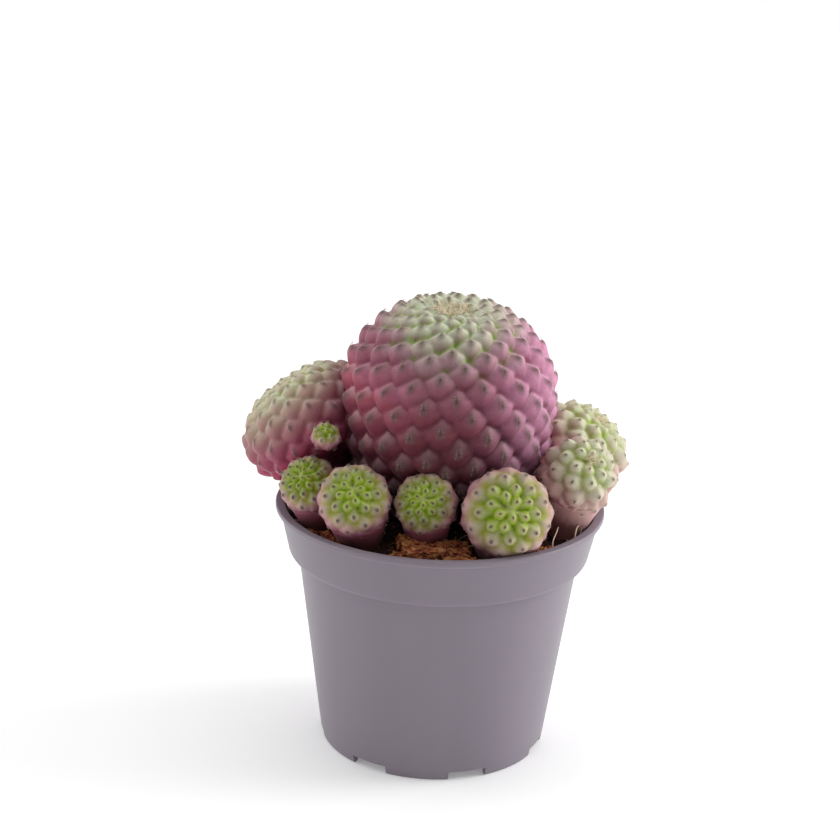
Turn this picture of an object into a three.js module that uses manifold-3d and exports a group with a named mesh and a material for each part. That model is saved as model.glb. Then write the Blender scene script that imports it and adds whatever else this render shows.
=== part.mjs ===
// Potted rebutia: a clump of tubercled cactus stems growing in a round nursery pot.
// Millimetres, +Z up, +Y to the back. The pieces are laid out from the pot's axis, then moved so that the
// origin is on the floor under the middle of the whole outline.
import * as THREE from "three";
import { mergeVertices } from "three/addons/utils/BufferGeometryUtils.js";
import Module from "manifold-3d";

const wasm = await Module();
wasm.setup();

const AXIS_X = 1.6; // the pot's axis stands this far to the right of the origin

// ---- Pot ----
const SEGMENTS = 44; // sides of the pot's round wall
const POT_HEIGHT = 65;
const LIP_RADIUS = 42.5; // the widest point, outside the thin lip
const LIP_HEIGHT = 1.3;
const COLLAR_TOP = 41.3; // outer radius of the collar under the lip
const COLLAR_FOOT = 38.9; // outer radius of the collar at its lower edge
const COLLAR_Z = 52; // height of the collar's lower edge
const BODY_TOP = 36.4; // outer radius of the body where the collar steps out
const FOOT_RADIUS = 29.4;
const WALL = 1.2;
const FOOT_HEIGHT = 2.6; // the bottom plate hangs this far above the floor
const FOOT_WIDTH = 1.8;
const NOTCHES = 7; // openings in the foot ring that let water run out
const NOTCH_START = -123; // degrees round from +X to the first notch's middle
const NOTCH_WIDTH = 10;
const NOTCH_HEIGHT = 2.3;
const HOLE_RING = 20; // drain holes in the bottom plate stand on this radius
const HOLE_RADIUS = 3;

// ---- Soil ----
const SOIL_Z = 60.2;
const SOIL_LUMP = 0.8; // the surface rises and falls this much
const SOIL_MOUND = 2.2; // and stands this much higher round the stems than at the wall
const MOUND_EDGE = 37.9; // the mound starts at this radius
const MOUND_WIDTH = 12; // and rises over this distance
const SOIL_RINGS = [14, 20, 25, 30, 34.5];
const SOIL_SEED = 11;

// ---- Gaps ----
const GAP = 0.35; // between a neck and the soil round it
const LEAN = 0.6; // between a stem and whatever it leans on
const FIT = 0.3; // between the soil and the pot

// ---- Stems ----
const SIDES = 12; // sides of a stem's neck

// One row per stem. at, axis: middle and growing direction. radius: over the tubercles' tips at the
// widest place. rise, drop: from there to the crown and to the underside. dimple: depth of the crown,
// in radii. spirals: rows of tubercles that wind each way. first: where the lattice starts. low: how
// far the tubercles reach down. squash: how much closer they stand along the axis than round it. open:
// the share of that spacing that they keep at the crown. relief, outer: depth of the grooves near the
// crown and on the sides, in shares of a tubercle's size. apex: how far its tip stands above its
// middle, in the same shares. areole: half width and half height of the spine cushion. rounded:
// tubercles get a second ring of facets. neck: radius under the body, at the soil and at the lower
// end. root: the lower end.
const MAIN = {
  name: "main_stem",
  at: [1.05, 2, 94.3],
  axis: [0.005, -0.1, 1],
  radius: 28.3,
  rise: 25.2,
  drop: 41,
  dimple: 0.12,
  spirals: [17, 10],
  first: [-0.226, -0.001],
  low: -0.74,
  squash: 0.753,
  open: 0.22,
  relief: 0.42,
  outer: 0.42,
  apex: 0.25,
  areole: [0.5, 1.05],
  spine: 1.1,
  rounded: true,
  neck: [18.8, 12.5, 8],
  root: [1, 4, 34],
};
const BUD = {
  name: "bud",
  at: [-29.25, -13.2, 86],
  axis: [0.03, -0.47, 0.88],
  radius: 3.9,
  rise: 3.7,
  drop: 3.6,
  dimple: 0.1,
  spirals: [5, 3],
  first: [0.2, 0.1],
  low: -0.8,
  squash: 0.64,
  open: 0.2,
  relief: 0.7,
  outer: 0.22,
  apex: -0.1,
  areole: [0.28, 0.42],
  spine: 0.5,
  neck: [2.5, 2.7, 2.7],
  root: [-32.5, -1, 82.6],
};
const OFFSETS = [
  {
    name: "offset_left_large",
    at: [-34.2, 9, 82.7],
    axis: [-0.61, 0.1, 0.86],
    radius: 19.5,
    rise: 14.1,
    drop: 14.2,
    dimple: 0.1,
    spirals: [11, 7],
    first: [0.1, 0.3],
    low: -0.8,
    squash: 0.68,
    open: 0.2,
    relief: 0.38,
    outer: 0.34,
    apex: 0.2,
    areole: [0.32, 0.7],
    spine: 0.9,
    neck: [7.8, 5.6, 4.5],
    root: [-21, 6.5, 46],
  },
  {
    name: "offset_left_small",
    at: [-33.1, -14.8, 73.5],
    axis: [-0.273, -0.69, 0.66],
    radius: 7.65,
    rise: 7.4,
    drop: 7.4,
    dimple: 0.1,
    spirals: [8, 5],
    first: [0.4, 0.1],
    low: -0.75,
    squash: 0.64,
    open: 0.2,
    relief: 0.7,
    outer: 0.22,
    apex: -0.1,
    areole: [0.45, 0.55],
    spine: 0.7,
    rounded: true,
    neck: [5.2, 3.8, 2.8],
    root: [-25.5, -11.5, 48],
  },
  {
    name: "offset_front_left",
    at: [-21.35, -25, 73.6],
    axis: [-0.027, -0.764, 0.645],
    radius: 9.3,
    rise: 9,
    drop: 9,
    dimple: 0.1,
    spirals: [8, 5],
    first: [0.15, 0.35],
    low: -0.75,
    squash: 0.64,
    open: 0.2,
    relief: 0.7,
    outer: 0.22,
    apex: -0.1,
    areole: [0.45, 0.55],
    spine: 0.75,
    rounded: true,
    neck: [6.2, 4.4, 3.2],
    root: [-17, -18, 48],
  },
  {
    name: "offset_front_middle",
    at: [-3.7, -24, 72.9],
    axis: [-0.161, -0.837, 0.524],
    radius: 8.1,
    rise: 7.8,
    drop: 7.6,
    dimple: 0.1,
    spirals: [8, 5],
    first: [0.3, 0.2],
    low: -0.75,
    squash: 0.64,
    open: 0.2,
    relief: 0.7,
    outer: 0.22,
    apex: -0.1,
    areole: [0.45, 0.55],
    spine: 0.7,
    rounded: true,
    neck: [5.2, 3.9, 2.8],
    root: [-2.5, -20, 48],
  },
  {
    name: "offset_front_right",
    at: [16.05, -28.5, 72.9],
    axis: [0.077, -0.896, 0.436],
    radius: 11.5,
    rise: 11,
    drop: 10.5,
    dimple: 0.1,
    spirals: [8, 5],
    first: [0.25, 0.05],
    low: -0.75,
    squash: 0.64,
    open: 0.2,
    relief: 0.7,
    outer: 0.22,
    apex: -0.1,
    areole: [0.45, 0.55],
    spine: 0.8,
    rounded: true,
    neck: [7.2, 5, 3.5],
    root: [13, -20.5, 48],
  },
  {
    name: "offset_right_front",
    at: [34, -12, 77.4],
    axis: [0.32, -0.6, 0.68],
    radius: 10.4,
    rise: 10.6,
    drop: 14,
    dimple: 0.1,
    spirals: [7, 4],
    first: [0.05, 0.3],
    low: -0.75,
    squash: 0.64,
    open: 0.2,
    relief: 0.6,
    outer: 0.5,
    apex: 0,
    areole: [0.45, 0.62],
    spine: 0.9,
    rounded: true,
    neck: [8.2, 3.8, 3],
    root: [30.8, -9.8, 54],
  },
  {
    name: "offset_right_back",
    at: [36.3, 11, 78],
    axis: [0.5, -0.1, 0.8],
    radius: 14,
    rise: 10.2,
    drop: 12,
    dimple: 0.1,
    spirals: [8, 5],
    first: [0.2, 0.4],
    low: -0.8,
    squash: 0.64,
    open: 0.2,
    relief: 0.6,
    outer: 0.5,
    apex: 0,
    areole: [0.45, 0.62],
    spine: 0.6,
    rounded: true,
    neck: [6.9, 4.8, 3.8],
    root: [23, 8, 48],
  },
];

// ---- Helpers ----
function random(seed) {
  let state = seed;
  return () => {
    state = (state * 1664525 + 1013904223) % 4294967296;
    return state / 4294967296;
  };
}

// A geometry as a closed manifold solid.
function solid(geometry) {
  const bare = geometry.clone();
  bare.deleteAttribute("normal");
  bare.deleteAttribute("uv");
  const merged = mergeVertices(bare, 1e-3);
  return new wasm.Manifold(
    new wasm.Mesh({
      numProp: 3,
      vertProperties: new Float32Array(merged.attributes.position.array),
      triVerts: new Uint32Array(merged.index.array),
    }),
  );
}

// A manifold solid as a named mesh of the group.
function piece(name, made, colour) {
  const out = made.getMesh();
  const geometry = new THREE.BufferGeometry();
  const position = new Float32Array(out.numVert * 3);
  for (let i = 0; i < out.numVert; i++) {
    position.set(out.vertProperties.subarray(i * out.numProp, i * out.numProp + 3), i * 3);
  }
  geometry.setAttribute("position", new THREE.BufferAttribute(position, 3));
  geometry.setIndex(new THREE.BufferAttribute(new Uint32Array(out.triVerts), 1));
  geometry.translate(AXIS_X, 0, 0);
  const material = new THREE.MeshStandardMaterial({ color: colour, roughness: 0.7, flatShading: true });
  const mesh = new THREE.Mesh(geometry, material);
  mesh.name = name;
  return mesh;
}

// A profile of [radius, height] points, anticlockwise with the axis on its left, turned about +Z.
function turned(profile, segments) {
  const points = profile.map(([r, z]) => new THREE.Vector2(r, z));
  return new THREE.LatheGeometry(points, segments).rotateX(Math.PI / 2);
}

// ---- Stem body ----
// A stem's own frame: z along its axis, x as near to the world's +X as it can be.
function frame(stem) {
  const z = new THREE.Vector3(...stem.axis).normalize();
  const x = new THREE.Vector3(1, 0, 0).addScaledVector(z, -z.x).normalize();
  const y = new THREE.Vector3().crossVectors(z, x);
  const [px, py, pz] = stem.at;
  return new THREE.Matrix4().makeBasis(x, y, z).setPosition(px, py, pz);
}

// How deep a point is inside a stem's smooth envelope grown by a gap: under 1 is inside.
function depthIn(stem, point, gap) {
  const local = point.clone().applyMatrix4(frame(stem).invert());
  const side = stem.radius + gap;
  const end = (local.z > 0 ? stem.rise : stem.drop) + gap;
  return new THREE.Vector3(local.x / side, local.y / side, local.z / end).length();
}

const RIM_MIDDLE = new THREE.Vector2(LIP_RADIUS - 1.1, POT_HEIGHT - 0.7);
const RIM_CLEAR = 1.9;

// The point moved straight out of the stems it would run into and off the pot's rim.
function cleared(point, neighbours) {
  const moved = point.clone();
  for (const other of neighbours) {
    const depth = depthIn(other, moved, LEAN);
    if (depth < 1) {
      const middle = new THREE.Vector3(...other.at);
      moved.sub(middle).divideScalar(depth).add(middle);
    }
  }
  const out = new THREE.Vector2(Math.hypot(moved.x, moved.y), moved.z);
  const away = out.clone().sub(RIM_MIDDLE);
  if (away.length() < RIM_CLEAR) {
    away.setLength(RIM_CLEAR).add(RIM_MIDDLE);
    moved.set((moved.x / out.x) * away.x, (moved.y / out.x) * away.x, away.y);
  }
  return moved;
}

const DIMPLE_WIDTH = 0.26; // of the crown's dimple, in radii

// A tubercle's corners, up, left, down and right of its tip, in half steps of the two windings.
const CORNERS = [[1, -1], [-1, -1], [-1, 1], [1, 1]];

// The stem's body: tubercles stand on a lattice of two sets of spirals, which one long helix threads.
// number counts the tips along it, from nought at the widest place. The step in level, which is the
// cosine of the angle from the crown, shrinks towards the crown as the rings do, but not as far.
// Below the widest place it is shorter by as much as the body is longer there.
function body(stem, neighbours, everyone) {
  const [p, q] = stem.spirals;
  const unit = (2 * Math.PI) / (p * p + q * q);
  const both = stem.squash * unit;
  const step = both * (1 - stem.open);
  const rate = Math.sqrt(step * both);
  const widen = Math.sqrt(both / step);
  const most = Math.atanh(1 / widen) / rate - (p + q) / 2 - 0.4;
  const shorter = stem.rise / stem.drop;
  const least = Math.atanh(Math.tanh(stem.low) / widen) / rate / shorter;
  const place = frame(stem);
  const positions = [];
  const faces = [];
  const shared = new Map();

  const numberAt = (i, j) => (i + stem.first[0]) * q - (j + stem.first[1]) * p;
  const angleAt = (i, j) => ((i + stem.first[0]) * p + (j + stem.first[1]) * q) * unit - Math.PI / 2;
  const levelAt = (number) => widen * Math.tanh(rate * number * (number < 0 ? shorter : 1));
  const spotAt = (i, j) => [angleAt(i, j), Math.min(0.9995, levelAt(numberAt(i, j)))];
  // A point at an angle and level, a distance above the envelope, moved east and north on it.
  const on = (angle, level, above, east = 0, north = 0) => {
    const wide = Math.sqrt(1 - level * level);
    const end = level > 0 ? stem.rise : stem.drop;
    const sunk = level > 0 ? stem.dimple * stem.radius * Math.exp(-Math.pow(wide / DIMPLE_WIDTH, 2)) : 0;
    const radial = new THREE.Vector3(Math.cos(angle), Math.sin(angle), 0);
    const out = radial.clone().multiplyScalar(wide / stem.radius).setZ(level / end).normalize();
    const right = new THREE.Vector3(-Math.sin(angle), Math.cos(angle), 0);
    const up = new THREE.Vector3().crossVectors(out, right);
    return radial
      .multiplyScalar(stem.radius * wide)
      .setZ(end * level - sunk)
      .addScaledVector(out, above)
      .addScaledVector(right, east)
      .addScaledVector(up, north)
      .applyMatrix4(place);
  };
  const add = (point) => positions.push(point.x, point.y, point.z) / 3 - 1;
  // A tubercle's size is a share of the square root of the skin that it has to itself.
  const sizeAt = (level) => {
    const room = (1 - level * level) * step + both * stem.open;
    return 0.72 * stem.radius * Math.sqrt(2 * Math.PI * room);
  };
  // Grooves are shallower on the lower skin.
  const deepAt = (level) => {
    const { smoothstep, lerp } = THREE.MathUtils;
    const deep = lerp(stem.outer, stem.relief, smoothstep(level, 0.25, 0.9));
    return sizeAt(level) * deep * lerp(0.45, 1, smoothstep(level, Math.tanh(stem.low), 0));
  };

  // Groove points are shared between the four tubercles that meet there.
  const groove = (i, j) => {
    const wind = Math.floor(j / (2 * q));
    const key = `${i - 2 * p * wind},${j - 2 * q * wind}`;
    if (!shared.has(key)) {
      const [angle, level] = spotAt(i / 2, j / 2);
      shared.set(key, { at: add(cleared(on(angle, level, -deepAt(level)), neighbours)), level });
    }
    return shared.get(key);
  };

  const edges = new Map();
  const reach = Math.ceil((most - least) / q) + p + 2;
  for (let n = 0; n < q; n++) {
    for (let m = -reach; m <= reach; m++) {
      if (numberAt(m, n) < least || numberAt(m, n) > most) continue;
      const [angle, level] = spotAt(m, n);
      const size = sizeAt(level);
      const outer = CORNERS.map(([di, dj]) => groove(2 * m + di, 2 * n + dj));
      outer.forEach((a, k) => {
        const b = outer[(k + 1) % 4];
        if (!edges.delete(`${b.at},${a.at}`)) edges.set(`${a.at},${b.at}`, [a, b]);
      });
      let ring = outer.map((g) => g.at);
      const between = (low, high) => {
        low.forEach((a, k) => {
          const next = (k + 1) % 4;
          faces.push(a, low[next], high[next], a, high[next], high[k]);
        });
      };
      if (stem.rounded) {
        // A second ring half way up rounds the tubercle off.
        const shoulder = CORNERS.map(([di, dj]) => {
          const [a, b] = spotAt(m + di * 0.29, n + dj * 0.29);
          return add(cleared(on(a, b, -0.32 * deepAt(b), 0, 0.5 * stem.apex * size), neighbours));
        });
        between(ring, shoulder);
        ring = shoulder;
      }
      // The areole: an upright cushion on the tip, drawn out into one flat spine.
      const young = Math.pow(size / sizeAt(0), 1.2);
      const [wide, tall] = [stem.areole[0] * young, stem.areole[1] * young];
      const tip = stem.apex * size;
      const spot = (east, north, above) => cleared(on(angle, level, above, east, north + tip), neighbours);
      const cushion = [[0, tall], [-wide, 0], [0, -tall], [wide, 0]].map(([x, y]) => add(spot(x, y, 0)));
      let point = on(angle, level, stem.spine * Math.max(young, 0.6), 0, tip - 0.3 * tall);
      const crowded = everyone.some((other) => other !== stem && depthIn(other, point, 0.9) < 1);
      const rim = new THREE.Vector2(Math.hypot(point.x, point.y), point.z).sub(RIM_MIDDLE);
      if (crowded || rim.length() < RIM_CLEAR + 0.4) point = spot(0, 0, 0.1);
      const spine = add(point);
      between(ring, cushion);
      cushion.forEach((a, k) => faces.push(a, cushion[(k + 1) % 4], spine));
    }
  }

  // The open edges above and below run round the axis: the lower one closes on a point under the
  // body, the upper one on the crown, where short needles stand up from the fan.
  const floor = add(new THREE.Vector3(0, 0, -0.78 * stem.drop).applyMatrix4(place));
  const crown = add(on(0, 1, -0.5 * deepAt(1)));
  const vertex = (k) => new THREE.Vector3(...positions.slice(3 * k, 3 * k + 3));
  let needles = 0;
  for (const [a, b] of edges.values()) {
    if (a.level < 0.2) {
      faces.push(b.at, a.at, floor);
      continue;
    }
    const corners = [b.at, a.at, crown];
    needles += 1;
    if (needles % 2) {
      faces.push(...corners);
      continue;
    }
    const [A, B, C] = corners.map(vertex);
    const centre = A.clone().add(B).add(C).divideScalar(3);
    const inner = [A, B, C].map((w) => add(w.lerp(centre, 0.72)));
    const out = centre.clone().sub(vertex(floor)).normalize();
    const needle = add(centre.addScaledVector(out, stem.spine * 1.25));
    corners.forEach((c, k) => {
      const next = (k + 1) % 3;
      faces.push(c, corners[next], inner[next], c, inner[next], inner[k], inner[k], inner[next], needle);
    });
  }
  const geometry = new THREE.BufferGeometry();
  geometry.setAttribute("position", new THREE.Float32BufferAttribute(positions, 3));
  geometry.setIndex(faces);
  return solid(geometry);
}

// The stem's neck: a turned piece that tapers from inside the body down to its root.
function neck(stem, grown, sides = SIDES) {
  const start = new THREE.Vector3(...stem.root);
  const along = new THREE.Vector3(...stem.at).sub(start);
  const length = along.length() - 0.52 * stem.radius;
  const level = Math.max(0.05, Math.min(0.95, (SOIL_Z - start.z) / along.z / (length / along.length())));
  const [top, middle, low] = stem.neck.map((radius) => radius + grown);
  const profile = [[0, 0], [low, 0], [middle, level * length], [top, length], [0, length]];
  const turn = new THREE.Quaternion().setFromUnitVectors(new THREE.Vector3(0, 0, 1), along.normalize());
  return turned(profile, sides).applyQuaternion(turn).translate(start.x, start.y, start.z);
}

// ---- Pieces ----
const group = new THREE.Group();
group.name = "potted_rebutia";

// Pot: one closed profile, then notches through the foot ring and drain holes in the plate.
const potProfile = [
  [0, FOOT_HEIGHT],
  [FOOT_RADIUS - FOOT_WIDTH, FOOT_HEIGHT],
  [FOOT_RADIUS - FOOT_WIDTH, 0],
  [FOOT_RADIUS - 0.5, 0],
  [FOOT_RADIUS, 0.6],
  [BODY_TOP, COLLAR_Z - 0.6],
  [COLLAR_FOOT - 0.5, COLLAR_Z],
  [COLLAR_FOOT, COLLAR_Z + 0.7],
  [COLLAR_TOP, POT_HEIGHT - LIP_HEIGHT - 0.3],
  [LIP_RADIUS, POT_HEIGHT - LIP_HEIGHT],
  [LIP_RADIUS, POT_HEIGHT - 0.3],
  [LIP_RADIUS - 0.3, POT_HEIGHT],
  [COLLAR_TOP - WALL, POT_HEIGHT],
  [COLLAR_FOOT - WALL, COLLAR_Z + WALL],
  [BODY_TOP - WALL, COLLAR_Z + WALL - 0.9],
  [FOOT_RADIUS - WALL + 0.2, FOOT_HEIGHT + WALL],
  [0, FOOT_HEIGHT + WALL],
];
const potCuts = [];
for (let k = 0; k < NOTCHES; k++) {
  const angle = THREE.MathUtils.degToRad(NOTCH_START + (360 / NOTCHES) * k);
  const notch = new THREE.BoxGeometry(2 * FOOT_WIDTH + 2, NOTCH_WIDTH, 2 * NOTCH_HEIGHT);
  potCuts.push(solid(notch.translate(FOOT_RADIUS - 1, 0, 0).rotateZ(angle)));
  const between = angle + Math.PI / NOTCHES;
  const hole = turned([[0, 0], [HOLE_RADIUS, 0], [HOLE_RADIUS, 6], [0, 6]], 14);
  potCuts.push(solid(hole.translate(HOLE_RING, 0, 1).rotateZ(between)));
}
potCuts.push(solid(turned([[0, 0], [HOLE_RADIUS, 0], [HOLE_RADIUS, 6], [0, 6]], 14).translate(0, 0, 1)));
const pot = solid(turned(potProfile, SEGMENTS)).subtract(wasm.Manifold.union(potCuts));
group.add(piece("pot", pot, 0x8a7f88));

// Soil: fills the pot, lumpy on top, with bark chips pressed into it and plain holes for the necks.
const inside = FIT + 0.1; // the faceted wall bows inwards a little between its corners
const roll = random(SOIL_SEED);
const soilWall = [
  [FOOT_RADIUS - WALL + 0.2 - inside, FOOT_HEIGHT + WALL + FIT],
  [BODY_TOP - WALL - inside, COLLAR_Z + WALL - 0.9],
  [COLLAR_FOOT - WALL - inside, COLLAR_Z + WALL + FIT],
  [COLLAR_FOOT - WALL - inside + 1.3, SOIL_Z - 0.3],
];
const soilSides = 32;
const ground = (r) => SOIL_Z + SOIL_MOUND * Math.min(1, (MOUND_EDGE - r) / MOUND_WIDTH);
const soilRows = [...soilWall, ...[...SOIL_RINGS].reverse().map((r) => [r, ground(r)])];
const soilPoints = [0, 0, FOOT_HEIGHT + WALL + FIT];
soilRows.forEach(([r, z], row) => {
  for (let k = 0; k < soilSides; k++) {
    const angle = (2 * Math.PI * (k + (row % 2) / 2)) / soilSides;
    const onTop = row >= soilWall.length;
    const lump = onTop ? SOIL_LUMP * (roll() * 2 - 1) : row === soilWall.length - 1 ? 0.4 * roll() : 0;
    const wobble = onTop ? 1.4 * (roll() - 0.5) : 0;
    const twist = row < soilWall.length ? (2 * Math.PI * k) / soilSides : angle;
    soilPoints.push((r + wobble) * Math.cos(twist), (r + wobble) * Math.sin(twist), z + lump);
  }
});
soilPoints.push(0, 0, ground(0));
const soilFaces = [];
const soilTop = soilRows.length * soilSides + 1;
for (let k = 0; k < soilSides; k++) {
  const next = (k + 1) % soilSides;
  soilFaces.push(0, 1 + next, 1 + k);
  for (let row = 0; row + 1 < soilRows.length; row++) {
    const [a, b] = [1 + row * soilSides + k, 1 + row * soilSides + next];
    const [c, d] = [a + soilSides, b + soilSides];
    soilFaces.push(a, b, d, a, d, c);
  }
  const last = 1 + (soilRows.length - 1) * soilSides;
  soilFaces.push(last + k, last + next, soilTop);
}
const soilShape = new THREE.BufferGeometry();
soilShape.setAttribute("position", new THREE.Float32BufferAttribute(soilPoints, 3));
soilShape.setIndex(soilFaces);
let soil = solid(soilShape);

// Bark chips: [x, y, z, length, width, thickness, turn, tip] in millimetres and degrees.
const CHIPS = [
  [-1, -29, 61.2, 16, 6.5, 3.2, 8, 10],
  [5.5, -33, 60.8, 8, 4, 2.4, -35, 8],
  [-11.5, -32.5, 60.6, 7, 4, 2.2, 50, -12],
  [26.5, -25, 60.6, 7, 4, 2.4, 60, 10],
  [33, 22, 60.6, 8, 4.5, 2.6, -40, 12],
  [19, 29, 60.9, 12, 6, 3, -20, -8],
  [4, 33, 60.7, 9, 5, 2.6, 35, 10],
  [-11, 29, 61, 13, 6, 3, 12, 9],
  [-26, 26, 60.7, 9, 5, 2.8, 70, -10],
  [-17, 20, 60.5, 7, 4, 2.2, -55, 8],
];
const chips = CHIPS.map(([x, y, z, length, width, thick, turn, tip]) => {
  const chip = new THREE.BoxGeometry(length, width, thick, 1, 1, 1);
  const corner = chip.attributes.position;
  for (let i = 0; i < corner.count; i++) {
    // Every corner is moved by its own octant, so doubled corners stay together.
    const [sx, sy, sz] = [corner.getX(i) > 0, corner.getY(i) > 0, corner.getZ(i) > 0];
    const slant = (sx ? 0.5 : -0.2) + (sy ? -0.6 : 0.3) + (sz ? -0.4 : 0.5);
    const [narrow, lift] = [sx ? 0.8 : 1.05, 0.4 * slant];
    corner.setXYZ(i, corner.getX(i) - slant, corner.getY(i) * narrow, corner.getZ(i) + lift);
  }
  const { degToRad } = THREE.MathUtils;
  chip.rotateX(degToRad(tip)).rotateY(degToRad(tip / 2)).rotateZ(degToRad(turn));
  return solid(chip.translate(x, y, z + ground(Math.hypot(x, y)) - SOIL_Z));
});
const stems = [MAIN, ...OFFSETS];
const sockets = stems.map((stem) => solid(neck(stem, GAP, stem === MAIN ? 24 : SIDES)));
// The stems' bodies rest in hollows of their own.
const hollows = OFFSETS.map((stem) => {
  const room = new THREE.SphereGeometry(1, 20, 14).rotateX(Math.PI / 2);
  const low = room.attributes.position;
  for (let i = 0; i < low.count; i++) {
    const end = (low.getZ(i) > 0 ? stem.rise : stem.drop) + 2 * GAP;
    const side = stem.radius + 2 * GAP;
    low.setXYZ(i, low.getX(i) * side, low.getY(i) * side, low.getZ(i) * end);
  }
  return solid(room.applyMatrix4(frame(stem)));
});
const roomProfile = [...soilWall.slice(0, 3), [COLLAR_TOP - WALL - inside, POT_HEIGHT]];
const room = solid(turned([[0, soilWall[0][1]], ...roomProfile, [0, POT_HEIGHT]], SEGMENTS));
soil = soil.add(wasm.Manifold.union(chips).intersect(room));
soil = soil.subtract(wasm.Manifold.union([...sockets, ...hollows]));
const soilBodies = soil.decompose().sort((a, b) => b.volume() - a.volume());
group.add(piece("soil", soilBodies[0], 0x3b2a1f));

// Stems: each body leans on the ones before it in the list. The bud has grown from the first offset.
const everyone = [MAIN, ...OFFSETS, BUD];
const mainStem = body(MAIN, [], everyone).add(solid(neck(MAIN, 0, 24)));
group.add(piece(MAIN.name, mainStem, 0x9c6b7a));
OFFSETS.forEach((stem, k) => {
  let grown = body(stem, everyone.slice(0, k + 1), everyone).add(solid(neck(stem, 0)));
  if (k === 0) grown = grown.add(body(BUD, [MAIN], everyone)).add(solid(neck(BUD, 0, 10)));
  group.add(piece(stem.name, grown, 0xa9b48c));
});

export default group;
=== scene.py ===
import math

import bmesh
import bpy
import numpy as np
from bpy.props import FloatProperty, FloatVectorProperty, IntProperty, PointerProperty
from mathutils import Matrix, Vector


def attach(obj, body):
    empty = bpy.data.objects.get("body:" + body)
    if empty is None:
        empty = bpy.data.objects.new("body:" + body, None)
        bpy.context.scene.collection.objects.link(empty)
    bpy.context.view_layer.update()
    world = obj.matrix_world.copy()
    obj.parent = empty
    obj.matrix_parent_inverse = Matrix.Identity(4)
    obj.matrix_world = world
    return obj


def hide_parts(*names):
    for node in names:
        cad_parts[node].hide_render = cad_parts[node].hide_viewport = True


bl_info = {
    "name": "Potted Rebutia",
    "version": (1, 0, 0),
    "blender": (4, 5, 0),
    "location": "View3D > Sidebar > Rebutia",
    "description": "Builds a clump of tubercled cactus stems in a nursery pot",
    "category": "Object",
}

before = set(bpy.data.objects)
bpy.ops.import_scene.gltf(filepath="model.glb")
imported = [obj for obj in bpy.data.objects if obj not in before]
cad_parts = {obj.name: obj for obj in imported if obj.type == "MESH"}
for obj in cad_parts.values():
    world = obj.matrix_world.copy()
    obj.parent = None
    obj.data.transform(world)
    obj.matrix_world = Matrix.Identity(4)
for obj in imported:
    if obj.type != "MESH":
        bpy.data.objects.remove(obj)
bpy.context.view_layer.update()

MM = 0.001
AXIS_X = 1.6  # the pot's axis stands this far right of the origin, in millimetres
SOIL = 60.2  # height of the soil's surface, in millimetres

# The kinds of node that are used most, some with their settings.
MATH, VECTOR = "ShaderNodeMath", "ShaderNodeVectorMath"
COMBINE, SPLIT = "ShaderNodeCombineXYZ", "ShaderNodeSeparateXYZ"
NOISE, BUMP, ATTRIBUTE = "ShaderNodeTexNoise", "ShaderNodeBump", "ShaderNodeAttribute"
POINTS, SCATTER, EULER = "GeometryNodePoints", "GeometryNodeInstanceOnPoints", "FunctionNodeEulerToRotation"
REALIZE, MOVE, COAT = "GeometryNodeRealizeInstances", "GeometryNodeSetPosition", "GeometryNodeSetMaterial"
JOIN, RAMP = "GeometryNodeJoinGeometry", "ShaderNodeValToRGB"
STORE, NAMED = "GeometryNodeStoreNamedAttribute", "GeometryNodeInputNamedAttribute"
RANGE, MIX, RANDOM = "ShaderNodeMapRange", "ShaderNodeMix", "FunctionNodeRandomValue"
PLUS, MINUS, TIMES, OVER, TIMES_PLUS, RAISED, ABOVE, SINE, COSINE, ABSOLUTE = (
    (MATH, {"operation": name}) for name in (
        "ADD", "SUBTRACT", "MULTIPLY", "DIVIDE", "MULTIPLY_ADD", "POWER", "GREATER_THAN", "SINE", "COSINE",
        "ABSOLUTE",
    )
)
SCALED, DOT, VECTOR_PLUS, VECTOR_MINUS = (
    (VECTOR, {"operation": name}) for name in ("SCALE", "DOT_PRODUCT", "ADD", "SUBTRACT")
)
RANDOM_NUMBER, RANDOM_VECTOR = ((RANDOM, {"data_type": name}) for name in ("FLOAT", "FLOAT_VECTOR"))
SMOOTH = RANGE, {"interpolation_type": "SMOOTHSTEP"}
BLEND = MIX, {"data_type": "RGBA"}
BLUR = "GeometryNodeBlurAttribute", {"data_type": "FLOAT"}
STORE_POINTS = STORE, {"data_type": "FLOAT", "domain": "POINT"}

# How tubercles are shaped, in shares of their size. Lean: how far they slant sideways. Apex: how far the
# tip stands above the middle. Ridge and Full: how blunt the upper side is and how full the lower one.
# Stretch: height against width. Relief and Outer Relief: depth of the grooves near the crown and on the
# sides. Areole Rise: how far the cushion stands above the middle. And of the stem, Dimple: depth of the
# crown in shares of the radius. Squash: how close its rows lie. Tuft: how many spines lie in the crown.
MAIN_SHAPE = {
    "Lean": -0.07, "Apex": 0.25, "Ridge": 1.1, "Full": 2.1, "Stretch": 0.92, "Relief": 0.6,
    "Outer Relief": 0.52, "Areole Rise": 0.25, "Dimple": 0.12, "Squash": 0.753, "Tuft": 240,
}
LARGE_SHAPE = {
    "Lean": -0.05, "Apex": 0.2, "Ridge": 1.2, "Full": 2.4, "Stretch": 1.0, "Relief": 0.5,
    "Outer Relief": 0.48, "Areole Rise": 0.2, "Dimple": 0.1, "Squash": 0.68, "Tuft": 20,
}
SMALL_SHAPE = {
    "Lean": 0.0, "Apex": -0.1, "Ridge": 1.1, "Full": 1.7, "Stretch": 1.3, "Relief": 0.95,
    "Outer Relief": 0.26, "Areole Rise": -0.1, "Dimple": 0.1, "Squash": 0.64, "Tuft": 8,
}
POINTED_SHAPE = {
    **SMALL_SHAPE, "Apex": 0.0, "Ridge": 1.5, "Full": 1.9, "Stretch": 1.05, "Relief": 0.62,
    "Outer Relief": 0.55, "Areole Rise": 0.0, "Tuft": 60,
}

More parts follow.
